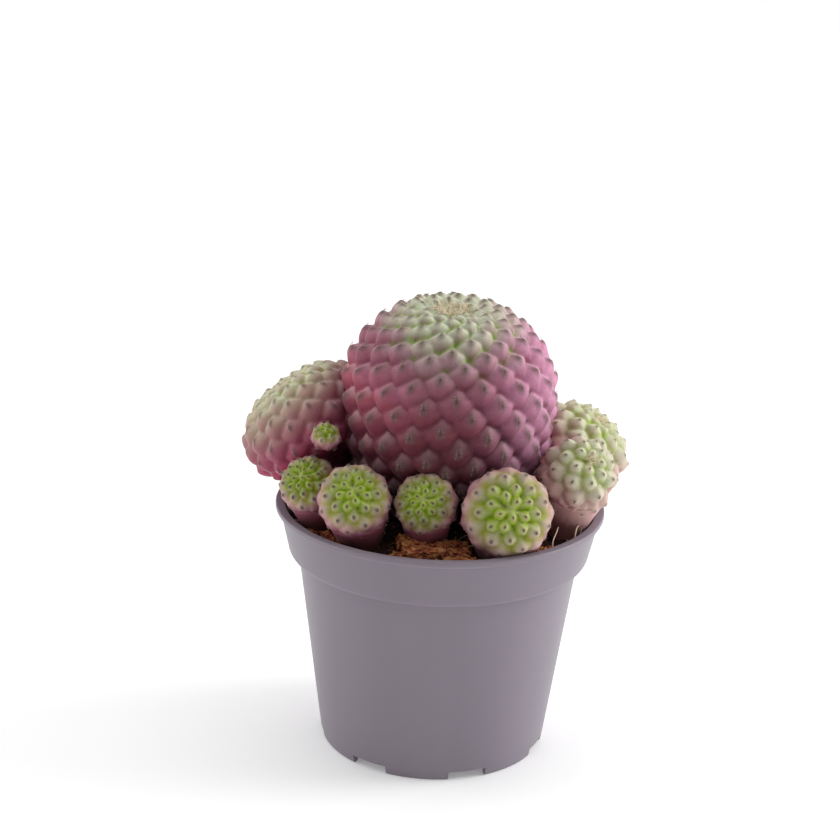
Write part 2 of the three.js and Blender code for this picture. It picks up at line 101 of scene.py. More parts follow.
# What stems share, in millimetres and shares. spirals: rows of tubercles winding each way. low: how far
# down their lattice reaches. open: the share of a step that stays at the crown. areole: half width and
# height of the cushion. foot: the levels whose colours the neck runs through. fine: facets, to the main
# stem's.
STEM = {
    "spirals": (8, 5), "low": -0.75, "open": 0.2, "areole": (0.58, 0.6), "foot": (-0.85, -0.25),
    "shape": SMALL_SHAPE, "skin": "skin_green", "fine": 0.44,
}
# One row per stem, in millimetres from the pot's axis. at and axis: middle and growing direction.
# radius: over the tips at the widest place. rise and drop: from there to the crown and underside.
# first: where the lattice starts. spine: size of the spines. neck: radius under the body, at the soil and
# at the root. root: its lower end.
MAIN = {
    **STEM, "at": (1.05, 2, 94.3), "axis": (0.005, -0.1, 1), "radius": 28.3, "rise": 25.2, "drop": 41,
    "spirals": (17, 10), "first": (-0.226, -0.001), "low": -0.74, "open": 0.22, "areole": (0.6, 0.9),
    "spine": 1.1, "neck": (18.8, 12.5, 8), "root": (1, 4, 34), "shape": MAIN_SHAPE, "skin": "skin_main",
    "fine": 1.0,
}
BUD = {
    **STEM, "at": (-29.25, -13.2, 86), "axis": (0.03, -0.47, 0.88), "radius": 3.9, "rise": 3.7, "drop": 3.6,
    "spirals": (5, 3), "first": (0.2, 0.1), "low": -0.8, "areole": (0.28, 0.42), "spine": 0.5,
    "neck": (2.5, 2.7, 2.7), "root": (-32.5, -1, 82.6), "fine": 0.22,
}
BUD_PARENT = "offset_left_large"
OFFSETS = {
    "offset_left_large": {
        **STEM, "at": (-34.2, 9, 82.7), "axis": (-0.61, 0.1, 0.86), "radius": 19.5, "rise": 14.1,
        "drop": 14.2,
        "spirals": (11, 7), "first": (0.1, 0.3), "low": -0.8, "areole": (0.32, 0.7), "spine": 0.9,
        "neck": (8, 5.6, 4.5), "root": (-21, 6.5, 46), "shape": LARGE_SHAPE, "skin": "skin_large",
        "fine": 0.62,
    },
    "offset_left_small": {
        **STEM, "at": (-33.1, -14.8, 73.5), "axis": (-0.273, -0.69, 0.66), "radius": 7.65, "rise": 7.4,
        "drop": 7.4, "first": (0.4, 0.1), "spine": 0.38, "neck": (6.2, 4.2, 2.8),
        "root": (-25.5, -11.5, 48),
    },
    "offset_front_left": {
        **STEM, "at": (-21.35, -25, 73.6), "axis": (-0.027, -0.764, 0.645), "radius": 9.3, "rise": 9,
        "drop": 9, "first": (0.15, 0.35), "spine": 0.42, "neck": (7.6, 5, 3.2), "root": (-17, -18, 48),
    },
    "offset_front_middle": {
        **STEM, "at": (-3.7, -24, 72.9), "axis": (-0.161, -0.837, 0.524), "radius": 8.1, "rise": 7.8,
        "drop": 7.6, "first": (0.3, 0.2), "spine": 0.38, "neck": (6.4, 4.4, 2.8), "root": (-2.5, -20, 48),
    },
    "offset_front_right": {
        **STEM, "at": (16.05, -28.5, 72.9), "axis": (0.077, -0.896, 0.436), "radius": 11.5, "rise": 11,
        "drop": 10.5, "first": (0.25, 0.05), "spine": 0.45, "neck": (8.6, 5.6, 3.5),
        "root": (13, -20.5, 48),
    },
    "offset_right_front": {
        **STEM, "at": (34, -12, 77.4), "axis": (0.32, -0.6, 0.68), "radius": 10.4, "rise": 10.6, "drop": 14,
        "spirals": (7, 4), "first": (0.05, 0.3), "areole": (0.45, 0.62), "spine": 0.9,
        "neck": (8.2, 3.8, 3), "root": (30.8, -9.8, 54), "foot": (-0.45, -0.1), "shape": POINTED_SHAPE,
        "skin": "skin_pale",
    },
    "offset_right_back": {
        **STEM, "at": (36.3, 11, 78), "axis": (0.5, -0.1, 0.8), "radius": 14, "rise": 10.2, "drop": 12,
        "first": (0.2, 0.4), "low": -0.8, "areole": (0.45, 0.62), "spine": 0.9, "neck": (6.9, 4.8, 3.8),
        "root": (23, 8, 48), "shape": POINTED_SHAPE, "skin": "skin_pale",
    },
}
GROWN = 15  # stems of a larger radius have full combs of old spines
YOUNG = 0.7  # how cream the spines of the others are
BELOW = 0.7  # the body reaches this much further down than its tubercles
PRESS = 1.6  # how far flesh presses in between the tips it leans on
LIP_MIDDLE = (41.4, 64.3)  # radius and height of the middle of the pot's rounded lip
LIP_CLEAR = 1.75  # flesh keeps this far from it
NECK_INSIDE = 0.52  # a neck ends this far under the body's middle, in shares of the radius
NECK_ROWS = 24  # rows of facets up a neck
CUSHION = 0.12 * MM  # height of an areole's cushion
RANKS = 0.00008  # each rank of spines in a comb stands this far from its middle, in metres
FULL_TURN = 6.283  # radians


# ---- Small tools ----
def linear(code):
    """An sRGB hex colour as linear RGBA."""
    parts = [int(code[k : k + 2], 16) / 255 for k in (1, 3, 5)]
    return [c / 12.92 if c <= 0.04045 else ((c + 0.055) / 1.055) ** 2.4 for c in parts] + [1.0]


def fill(band, stops):
    """Gives a colour ramp its (position, colour) stops."""
    band.interpolation = "EASE"
    while len(band.elements) < len(stops):
        band.elements.new(0.5)
    for element, (position, colour) in zip(band.elements, stops):
        element.position = position
        element.color = linear(colour) if isinstance(colour, str) else [*colour, 1.0]


def add(tree, kind, inputs=(), out=0, stops=(), **settings):
    """Adds a node with its settings, fills or links its inputs and returns one of its outputs. A kind may
    bring settings of its own, and a list of geometries all go to one input."""
    kind, own = kind if isinstance(kind, tuple) else (kind, {})
    node = tree.nodes.new(kind)
    for name, value in {**own, **settings}.items():
        setattr(node, name, value)
    if stops:
        fill(node.color_ramp, stops)
    for key, value in inputs.items() if isinstance(inputs, dict) else enumerate(inputs):
        for one in value if isinstance(value, list) and key == "Geometry" else [value]:
            if isinstance(one, bpy.types.NodeSocket):
                tree.links.new(one, node.inputs[key])
            else:
                node.inputs[key].default_value = one
    return node if out is None else node.outputs[out]


def new_tree(name, inputs, outputs):
    """An empty Geometry Nodes tree and its two end nodes. Its inputs and outputs are listed by kind."""
    tree = bpy.data.node_groups.new(name, "GeometryNodeTree")
    for way, sockets in (("INPUT", inputs), ("OUTPUT", outputs)):
        for label, kind in [(label, kind) for kind, labels in sockets.items() for label in labels]:
            tree.interface.new_socket(label, in_out=way, socket_type="NodeSocket" + kind)
    return tree, tree.nodes.new("NodeGroupInput").outputs, tree.nodes.new("NodeGroupOutput").inputs


def placed(name, data):
    """A new object of the scene."""
    obj = bpy.data.objects.new(name, data)
    bpy.context.scene.collection.objects.link(obj)
    return obj


def as_mesh(obj):
    """The plain mesh that an object's modifiers or curves make. The object itself goes."""
    depsgraph = bpy.context.evaluated_depsgraph_get()
    made = bpy.data.meshes.new_from_object(
        obj.evaluated_get(depsgraph), preserve_all_data_layers=True, depsgraph=depsgraph
    )
    bpy.data.objects.remove(obj)
    return made


def evaluate(name, tree, values, mesh=None):
    """Runs a tree on an object and returns the plain mesh it makes. Inputs are set by identifier."""
    obj = placed(name, mesh or bpy.data.meshes.new(name))
    modifier = obj.modifiers.new("Nodes", "NODES")
    modifier.node_group = tree
    for item in tree.interface.items_tree:
        if item.in_out == "INPUT" and item.name in values:
            modifier[item.identifier] = values[item.name]
    made = as_mesh(obj)
    made.name = name
    return made


def plain_mesh(name, co, faces):
    """A mesh of an array of vertices and a list of faces."""
    mesh = bpy.data.meshes.new(name)
    mesh.from_pydata(co.tolist(), [], faces)
    return mesh


def store(mesh, label, values):
    """Stores one number per vertex on a mesh, under a name that trees and materials read."""
    mesh.attributes.new(label, "FLOAT", "POINT").data.foreach_set("value", values)


def coordinates(mesh):
    """A mesh's vertices as an array, in its own units."""
    co = np.empty(len(mesh.vertices) * 3)
    mesh.vertices.foreach_get("co", co)
    return co.reshape(-1, 3)


def settle(mesh, co):
    """Writes vertices given in millimetres from the pot's axis, in metres from the origin."""
    mesh.vertices.foreach_set("co", ((co + (AXIS_X, 0, 0)) * MM).ravel())
    mesh.update()


def piece(name, mesh, node=None):
    """Shows a mesh as a piece of the plant or pot."""
    obj = placed(name, mesh)
    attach(obj, "root")
    if node:
        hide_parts(node)


def turned(profile, around):
    """Vertices and faces of a closed [radius, height] profile turned about the z axis."""
    points, faces, rings = [], [], []
    for radius, height in profile:
        if radius < 1e-6:
            rings.append([len(points)] * around)
            points.append((0, 0, height))
            continue
        rings.append(list(range(len(points), len(points) + around)))
        for k in range(around):
            angle = 2 * math.pi * k / around
            points.append((radius * math.cos(angle), radius * math.sin(angle), height))
    for low, high in zip(rings, rings[1:]):
        for k in range(around):
            n = (k + 1) % around
            face = [low[k], low[n], high[n], high[k]]
            faces.append(list(dict.fromkeys(face)))
    return np.array(points), faces


def rounded(profile, radius, steps):
    """A profile with its corners cut round, each by at most a third of the shorter side beside it."""
    made = []
    for k, point in enumerate(profile):
        here = Vector(point)
        if k in (0, len(profile) - 1):
            made.append(tuple(here))
            continue
        before, after = Vector(profile[k - 1]) - here, Vector(profile[k + 1]) - here
        cut = min(radius, before.length / 3, after.length / 3)
        start, end = here + before.normalized() * cut, here + after.normalized() * cut
        for step in range(steps + 1):
            t = step / steps
            made.append(tuple(start * (1 - t) ** 2 + here * 2 * t * (1 - t) + end * t**2))
    return made


# ---- Settings ----
def paint(name, description, code):
    """A colour setting. Its default is given as an sRGB hex code."""
    return FloatVectorProperty(
        name=name, description=description, subtype="COLOR", default=linear(code)[:3]
    )


class RebutiaStems(bpy.types.PropertyGroup):
    around: IntProperty(name="Facets around", description="Facets round the main stem", default=372)
    along: IntProperty(name="Facets along", description="Facets up the main stem", default=196)
    stray: FloatProperty(
        name="Stray", description="How far tips stray, in shares of a tubercle", default=0.07
    )
    spine_length: FloatProperty(
        name="Spine length", description="Length of a spine", default=1.15 * MM, unit="LENGTH", precision=5
    )
    spine_width: FloatProperty(
        name="Spine radius", description="Radius at the foot", default=0.07 * MM, unit="LENGTH", precision=6
    )
    spines: IntProperty(name="Spines", description="Spines in the comb on each areole", default=12)
    crown: paint("Crown", "New growth", "#8cab00")
    sage: paint("Sage", "Young tubercles", "#cfd6b8")
    mauve: paint("Mauve", "Grown tubercles", "#9c6071")
    wine: paint("Wine", "Old tubercles below", "#642c37")


class RebutiaPot(bpy.types.PropertyGroup):
    around: IntProperty(name="Facets around", description="Facets round the pot", default=192)
    height: FloatProperty(name="Height", description="Foot to lip", default=65 * MM, unit="LENGTH")
    lip: FloatProperty(
        name="Lip radius", description="Outside of the lip", default=42.5 * MM, unit="LENGTH"
    )
    foot: FloatProperty(
        name="Foot radius", description="Outside of the foot ring", default=29.4 * MM, unit="LENGTH"
    )
    wall: FloatProperty(
        name="Wall", description="Wall thickness", default=1.2 * MM, unit="LENGTH", precision=4
    )
    colour: paint("Colour", "Plastic", "#837a85")


class RebutiaSoil(bpy.types.PropertyGroup):
    level: FloatProperty(
        name="Level", description="Height of the surface", default=SOIL * MM, unit="LENGTH"
    )
    crumbs: FloatProperty(name="Crumbs", description="Crumbs per square metre", default=620000)
    fibres: FloatProperty(name="Fibres", description="Fibres per square metre", default=26000)
    seed: IntProperty(name="Seed", description="Seed of the scatter", default=4)
    peat: paint("Peat", "Damp peat", "#38211a")
    coir: paint("Coir", "Dry fibre", "#9a6a42")


class RebutiaStage(bpy.types.PropertyGroup):
    key: FloatProperty(name="Key light", description="Power of the softbox", default=5.5, unit="POWER")
    fill: FloatProperty(
        name="Fill light", description="Power of the light on the left", default=1.0, unit="POWER"
    )
    back: FloatProperty(
        name="Back", description="Strength of the surroundings behind the plant", default=1.1
    )
    front: FloatProperty(
        name="Front", description="Strength of the surroundings in front of it", default=0.05
    )


GROUPS = {"stems": RebutiaStems, "pot": RebutiaPot, "soil": RebutiaSoil, "stage": RebutiaStage}


def settings(group):
    """The scene's own settings of a group."""
    return getattr(bpy.context.scene, "rebutia_" + group)


# ---- Materials ----
def blank(name, **shader):
    """A material with a Principled shader set up and wired to the output."""
    made = bpy.data.materials.new(name)
    made.use_nodes = True
    tree = made.node_tree
    tree.nodes.clear()
    surface = add(tree, "ShaderNodeBsdfPrincipled", shader, out=None)
    add(tree, "ShaderNodeOutputMaterial", [surface.outputs[0]], out=None)
    return made, tree, surface.inputs


def cactus_skin(name, flank, groove, valley, blush, side_colour_and_painted_shading, felt, sheen, shade):
    """Waxy living skin. Light goes a little way into the flesh, so edges glow, and the wax gives a broad
    soft sheen.

    flank and groove are colours from the foot to the crown, as hex codes or names of the stems' settings.
    Both darken towards the foot, partly the old skin's own colour and partly painted shade low on the stem,
    and below the green the groove is darker than the flank, painted shade in the creases. valley is where
    the groove's colour begins and is full. The blush is a colour and its share on lower flanks, partly the
    skin's own red and partly painted shade under each tubercle. The side colour comes in from one side of
    the
    plant to the other: on the main and small stems it is paler on the right, towards the softbox, partly
    the skin's own colour and partly painted light; on the large offset it is painted shade on the side
    towards the main stem. felt is the rings of an areole. shade is how much painted shade darkens the front
    of the stem against its sides, which are painted lighter."""
    made, tree, shader = blank(
        name, **{
            "Roughness": 0.5, "IOR": 1.42, "Specular IOR Level": 0.25, "Subsurface Weight": 0.12,
            "Subsurface Scale": 0.0016, "Sheen Weight": sheen, "Sheen Roughness": 0.45,
            "Sheen Tint": linear("#f3d3dc"),
        }
    )
    stems = settings("stems")
    flank, groove = ([(at, getattr(stems, code, code)) for at, code in stops] for stops in (flank, groove))
    labels = ("level", "groove", "areole", "upper", "tint")
    level, deep, cushion, upper, tint = (
        add(tree, ATTRIBUTE, attribute_name=label, out=2) for label in labels
    )
    here = add(tree, "ShaderNodeTexCoord", out=3)
    # Mottling of a few millimetres, and a fine grain of the skin's papillae drawn at a quarter millimetre.
    mottle = add(tree, NOISE, {"Vector": here, "Scale": 190.0, "Detail": 3.0})
    grain = add(tree, NOISE, {"Vector": here, "Scale": 1900.0, "Detail": 2.0})
    stray = add(tree, TIMES_PLUS, [mottle, 0.3, -0.15])
    stray = add(tree, PLUS, [stray, level])
    # On the main stem, painted light and shade: low down the sides, the left most, are painted brighter
    # than the front, which is painted darker. The right side, towards the softbox, is paler all the way up,
    # partly the skin's own colour and partly painted light; on the large offset the side towards the main
    # stem gets painted shade instead. Both sides redden further up than the front, and the lower left
    # further still.
    across = add(tree, SPLIT, [here], out=0)
    low = add(tree, SMOOTH, {"Value": level, 1: 0.55, 2: 0.25})
    left = add(tree, SMOOTH, {"Value": across, 1: 0.0, 2: -0.022, 3: 0.0, 4: 2.9 * shade})
    aside = add(tree, OVER, [add(tree, MINUS, [across, 0.003]), 0.028])
    aside = add(tree, TIMES, [add(tree, RAISED, [aside, 2.0]), shade])
    stray = add(tree, MINUS, [stray, aside])
    stray = add(tree, TIMES_PLUS, [left, -0.11, stray])
    stray = add(tree, TIMES_PLUS, [tint, 0.05, stray])
    share = add(tree, RANGE, {"Value": stray, 1: -1.0, 2: 1.0})
    start, end, most, colour = side_colour_and_painted_shading
    side_shading_mask = add(tree, SMOOTH, {"Value": across, 1: start, 2: end, 3: 0.0, 4: most})
    side = add(tree, RAMP, [share], stops=flank)
    side = add(tree, BLEND, {0: side_shading_mask, 6: side, 7: linear(colour)}, out=2)
    # The groove colour is the skin's own green in the valleys near the crown; below the green it is darker
    # than the flank, painted shade in the creases.
    inward = add(tree, SMOOTH, {"Value": deep, 1: valley[0], 2: valley[1]})
    skin = add(tree, BLEND, {0: inward, 6: side, 7: add(tree, RAMP, [share], stops=groove)}, out=2)
    # The upper side of each tubercle is painted paler, a painted highlight, and its lower flank redder,
    # partly the skin's own red and partly painted shade under the tubercle.
    above = add(tree, SMOOTH, {"Value": upper, 1: 0.15, 2: 0.75, 3: 0.0, 4: 0.3})
    skin = add(tree, BLEND, {0: above, 6: skin, 7: linear("#cba9ad")}, out=2)
    below = add(tree, RANGE, {"Value": upper, 1: 0.1, 2: -0.9, 3: 0.0, 4: blush[1]})
    below = add(tree, TIMES, [below, add(tree, TIMES, [mottle, 1.6])])
    skin = add(tree, BLEND, {0: below, 6: skin, 7: linear(blush[0])}, out=2)
    fine = add(tree, RANGE, {"Value": grain, 1: 0.3, 2: 0.7, 3: 0.93, 4: 1.07})
    # Painted light and shade on the main stem: its front is painted darker and its sides brighter, the
    # lower left most. The fine grain's tone is the skin's own.
    tone = add(tree, TIMES_PLUS, [aside, 1.9, 1.0 - 0.45 * shade])
    tone = add(tree, TIMES_PLUS, [low, left, tone])
    tone = add(tree, TIMES, [fine, tone])
    skin = add(tree, SCALED, {0: skin, "Scale": tone})
    for start, end, most, colour in felt:
        share = add(tree, RANGE, {"Value": cushion, 1: start, 2: end, 3: 0.0, 4: most})
        skin = add(tree, BLEND, {0: share, 6: skin, 7: linear(colour)}, out=2)
    tree.links.new(skin, shader["Base Color"])
    bump = add(tree, BUMP, {"Strength": 0.25, "Distance": 0.00012, "Height": grain})
    tree.links.new(bump, shader["Normal"])
    return made


def spine_horn(name):
    """Dry horny spines: dull, dark brown at the foot and pale at the tip, cream when newly grown."""
    made, tree, shader = blank(name, **{"Roughness": 0.6, "IOR": 1.5})
    tip = add(tree, ATTRIBUTE, attribute_name="tip", out=2)
    young = add(tree, ATTRIBUTE, attribute_name="young", out=2)
    old = add(tree, RAMP, [tip], stops=[(0.0, "#6e5c50"), (0.5, "#b09c88"), (1.0, "#e8dccb")])
    new = add(tree, RAMP, [tip], stops=[(0.0, "#cdb48c"), (0.4, "#ecdfc4"), (1.0, "#f8f3e6")])
    tree.links.new(add(tree, BLEND, {0: young, 6: old, 7: new}, out=2), shader["Base Color"])
    return made


def moulded_polypropylene(name):
    """Thin injection-moulded polypropylene: satin, with a faint flow of the plastic down the wall."""
    made, tree, shader = blank(
        name, **{"Roughness": 0.44, "IOR": 1.49, "Subsurface Weight": 0.05, "Subsurface Scale": 0.002}
    )
    here = add(tree, "ShaderNodeTexCoord", out=3)
    long = add(tree, "ShaderNodeMapping", {"Vector": here, "Scale": (60.0, 60.0, 9.0)})
    flow = add(tree, NOISE, {"Vector": long, "Scale": 1.0, "Detail": 2.0})
    tone = add(tree, RANGE, {"Value": flow, 1: 0.3, 2: 0.7, 3: 0.965, 4: 1.03})
    colour = add(tree, SCALED, {0: tuple(settings("pot").colour), "Scale": tone})
    tree.links.new(colour, shader["Base Color"])
    pits = add(tree, NOISE, {"Vector": here, "Scale": 2600.0, "Detail": 1.0})
    tree.links.new(
        add(tree, BUMP, {"Strength": 0.1, "Distance": 0.00004, "Height": pits}), shader["Normal"]
    )
    return made


def potting_mix(name):
    """Damp peat with coir: almost black where wet, with dry crumbs and threads that catch the light."""
    made, tree, shader = blank(name, **{"Roughness": 0.92, "IOR": 1.4})
    tone = add(tree, ATTRIBUTE, attribute_name="tone", out=2)
    here = add(tree, "ShaderNodeTexCoord", out=3)
    fine = add(tree, NOISE, {"Vector": here, "Scale": 900.0, "Detail": 4.0})
    mixed = add(tree, TIMES_PLUS, [fine, 0.5, tone])
    soil = settings("soil")
    stops = [
        (0.0, "#1c0f0c"), (0.36, tuple(soil.peat)), (0.62, "#653c28"), (0.8, tuple(soil.coir)),
        (0.95, "#d8bc9c"),
    ]
    share = add(tree, RANGE, {"Value": mixed, 1: 0.15, 2: 1.35})
    tree.links.new(add(tree, RAMP, [share], stops=stops), shader["Base Color"])
    tree.links.new(add(tree, BUMP, {"Strength": 0.6, "Distance": 0.0004, "Height": fine}), shader["Normal"])
    return made


def pine_bark(name):
    """Dry pine bark: orange-brown corky layers with dark cracks between them."""
    made, tree, shader = blank(name, **{"Roughness": 0.88, "IOR": 1.4})
    here = add(tree, "ShaderNodeTexCoord", out=3)
    long = add(tree, "ShaderNodeMapping", {"Vector": here, "Scale": (480.0, 700.0, 900.0)})
    layers = add(tree, NOISE, {"Vector": long, "Scale": 1.0, "Detail": 5.0, "Roughness": 0.7})
    stops = [(0.32, "#1f0f0a"), (0.42, "#69301c"), (0.5, "#b06442"), (0.58, "#c08850"), (0.7, "#ddb684")]
    tree.links.new(add(tree, RAMP, [layers], stops=stops), shader["Base Color"])
    tree.links.new(
        add(tree, BUMP, {"Strength": 0.9, "Distance": 0.0006, "Height": layers}), shader["Normal"]
    )
    return made


def dry_root(name):
    """Dead roots: dull, pale and papery."""
    return blank(name, **{"Base Color": linear("#d6bea8"), "Roughness": 0.8, "IOR": 1.45})[0]


def white_paper(name):
    """Matt white studio paper."""
    glow = {"Emission Color": (1, 1, 1, 1), "Emission Strength": 0.2}
    return blank(name, **{"Base Color": linear("#f0f0f0"), "Roughness": 0.9, **glow})[0]


# The rings of an areole, as start, end, most and colour: a dull halo, then the dark middle.
DUSTY_FELT = ((0.3, 0.72, 0.65, "#63504d"), (0.76, 0.95, 0.7, "#3d302a"))
DARK_FELT = ((0.5, 0.8, 0.3, "#7a7a5c"), (0.72, 0.9, 0.85, "#3c3128"))
# Each flank and groove ramp runs from the foot to the crown and darkens towards the foot, partly the old
# skin's own colour and partly painted shade low on the stems and their necks. The large offset's side
# colour is painted shade towards the main stem; the others' are paler, partly painted light.
SKINS = {
    "skin_main": {
        "flank": [
            (0.0, "#2e1119"), (0.26, "#4b202b"), (0.4, "wine"), (0.52, "#7c3d48"), (0.62, "#8b4e60"),
            (0.72, "mauve"), (0.82, "#ae8d92"), (0.89, "#c0baa6"), (0.95, "sage"),
        ],
        "groove": [
            (0.0, "#1a070d"), (0.2, "#290c15"), (0.42, "#3f1526"), (0.6, "#61233b"), (0.72, "#824150"),
            (0.82, "#8a9650"), (0.89, "#a4c068"), (0.97, "#b4c67c"),
        ],
        "valley": (0.68, 1.0), "blush": ("#66203a", 0.75), "side_colour_and_painted_shading": (0.004, 0.031, 0.6, "#d69abb"),
        "felt": DUSTY_FELT, "sheen": 0.2, "shade": 0.24,
    },
    "skin_large": {
        "flank": [
            (0.0, "#5e3734"), (0.12, "#86384a"), (0.25, "#b03f62"), (0.45, "#a24f66"), (0.63, "#a27072"),
            (0.8, "#b39c8a"), (0.93, "#c6c8a6"),
        ],
        "groove": [
            (0.0, "#55182c"), (0.28, "#742840"), (0.48, "#84384e"), (0.65, "#8c5a58"), (0.84, "#8f8a5c"),
            (0.97, "#94a83a"),
        ],
        "valley": (0.6, 0.98), "blush": ("#8f3350", 0.6), "side_colour_and_painted_shading": (-0.037, -0.017, 0.6, "#6d3a4c"),
        "felt": DUSTY_FELT, "sheen": 0.2, "shade": 0.0,
    },
    "skin_green": {
        "flank": [
            (0.0, "#36241c"), (0.2, "#5c362e"), (0.34, "#98566a"), (0.52, "#bb8090"), (0.66, "#c2999c"),
            (0.8, "#b4a491"), (0.9, "#a6ae78"), (0.98, "#a6b458"),
        ],
        "groove": [
            (0.0, "#301c18"), (0.2, "#553028"), (0.4, "#824650"), (0.56, "#a87a7c"), (0.68, "#a8946c"),
            (0.78, "#929834"), (0.88, "#84980a"), (0.96, "crown"),
        ],
        "valley": (0.2, 0.82), "blush": ("#a5506c", 0.2), "side_colour_and_painted_shading": (0.004, 0.031, 0.35, "#d0b4ac"),
        "felt": DARK_FELT, "sheen": 0.1, "shade": 0.0,
    },
    "skin_pale": {
        "flank": [
            (0.0, "#733638"), (0.25, "#ac5a66"), (0.45, "#be7680"), (0.6, "#bf938e"), (0.74, "#bbac9a"),
            (0.88, "#bdc09e"), (0.96, "#b9c194"),
        ],
        "groove": [
            (0.0, "#4a2a28"), (0.25, "#8e4650"), (0.45, "#aa646c"), (0.6, "#aa8478"), (0.74, "#a0a070"),
            (0.86, "#9cae54"), (0.95, "#96b030"),
        ],
        "valley": (0.4, 0.95), "blush": ("#b8707e", 0.2), "side_colour_and_painted_shading": (0.004, 0.05, 0.4, "#dedac4"),
        "felt": DARK_FELT, "sheen": 0.12, "shade": 0.0,
    },
}
FINISHES = {  # each material's name and maker
    "skin_main": ("Waxy cactus skin, mauve", cactus_skin),
    "skin_large": ("Waxy cactus skin, blushed", cactus_skin),
    "skin_green": ("Waxy cactus skin, sage", cactus_skin),
    "skin_pale": ("Waxy cactus skin, cream", cactus_skin),
    "spines": ("Horny spines", spine_horn),
    "pot": ("Moulded polypropylene", moulded_polypropylene),
    "soil": ("Peat and coir potting mix", potting_mix),
    "bark": ("Pine bark", pine_bark),
    "root": ("Dry root", dry_root),
    "paper": ("Studio paper", white_paper),
}


def material(finish):
    """The material of a finish, made the first time it is asked for."""
    name, make = FINISHES[finish]
    return bpy.data.materials.get(name) or make(name, **SKINS.get(finish, {}))


# ---- Stem trees ----
def envelope_tree():
    """A stem's smooth envelope: the point at an angle and polar angle, and which ways are out, east and up
    there."""
    inputs = {"Float": ("Angle", "Polar", "Radius", "Rise", "Drop", "Dimple")}
    tree, given, out = new_tree("Stem envelope", inputs, {"Vector": ("Point", "Normal", "East", "Up")})
    sine = add(tree, SINE, [given["Polar"]])
    cosine = add(tree, COSINE, [given["Polar"]])
    east = add(tree, SINE, [given["Angle"]])
    south = add(tree, COSINE, [given["Angle"]])
    flat = add(tree, COMBINE, [east, add(tree, TIMES, [south, -1.0]), 0.0])
    above = add(tree, ABOVE, [cosine, 0.0])
    longer = add(tree, MINUS, [given["Rise"], given["Drop"]])
    end = add(tree, TIMES_PLUS, [longer, above, given["Drop"]])
    reach = add(tree, TIMES, [sine, given["Radius"]])
    point = add(tree, SCALED, {0: flat, "Scale": reach})
    # New growth lies in a dimple at the crown.
    near = add(tree, RAISED, [add(tree, OVER, [sine, 0.26]), 2.0])
    near = add(tree, MATH, [add(tree, TIMES, [near, -1.0])], operation="EXPONENT")
    near = add(tree, TIMES, [add(tree, TIMES, [near, above]), given["Dimple"]])
    near = add(tree, TIMES, [near, given["Radius"]])
    high = add(tree, TIMES, [end, cosine])
    lift = add(tree, COMBINE, [0.0, 0.0, add(tree, MINUS, [high, near])])
    tree.links.new(add(tree, VECTOR_PLUS, [point, lift]), out["Point"])
    side = add(tree, SCALED, {0: flat, "Scale": add(tree, OVER, [sine, given["Radius"]])})
    tilt = add(tree, COMBINE, [0.0, 0.0, add(tree, OVER, [cosine, end])])
    normal = add(tree, VECTOR, [add(tree, VECTOR_PLUS, [side, tilt])], operation="NORMALIZE")
    right = add(tree, COMBINE, [south, east, 0.0])
    tree.links.new(normal, out["Normal"])
    tree.links.new(right, out["East"])
    tree.links.new(add(tree, VECTOR, [normal, right], operation="CROSS_PRODUCT"), out["Up"])
    return tree


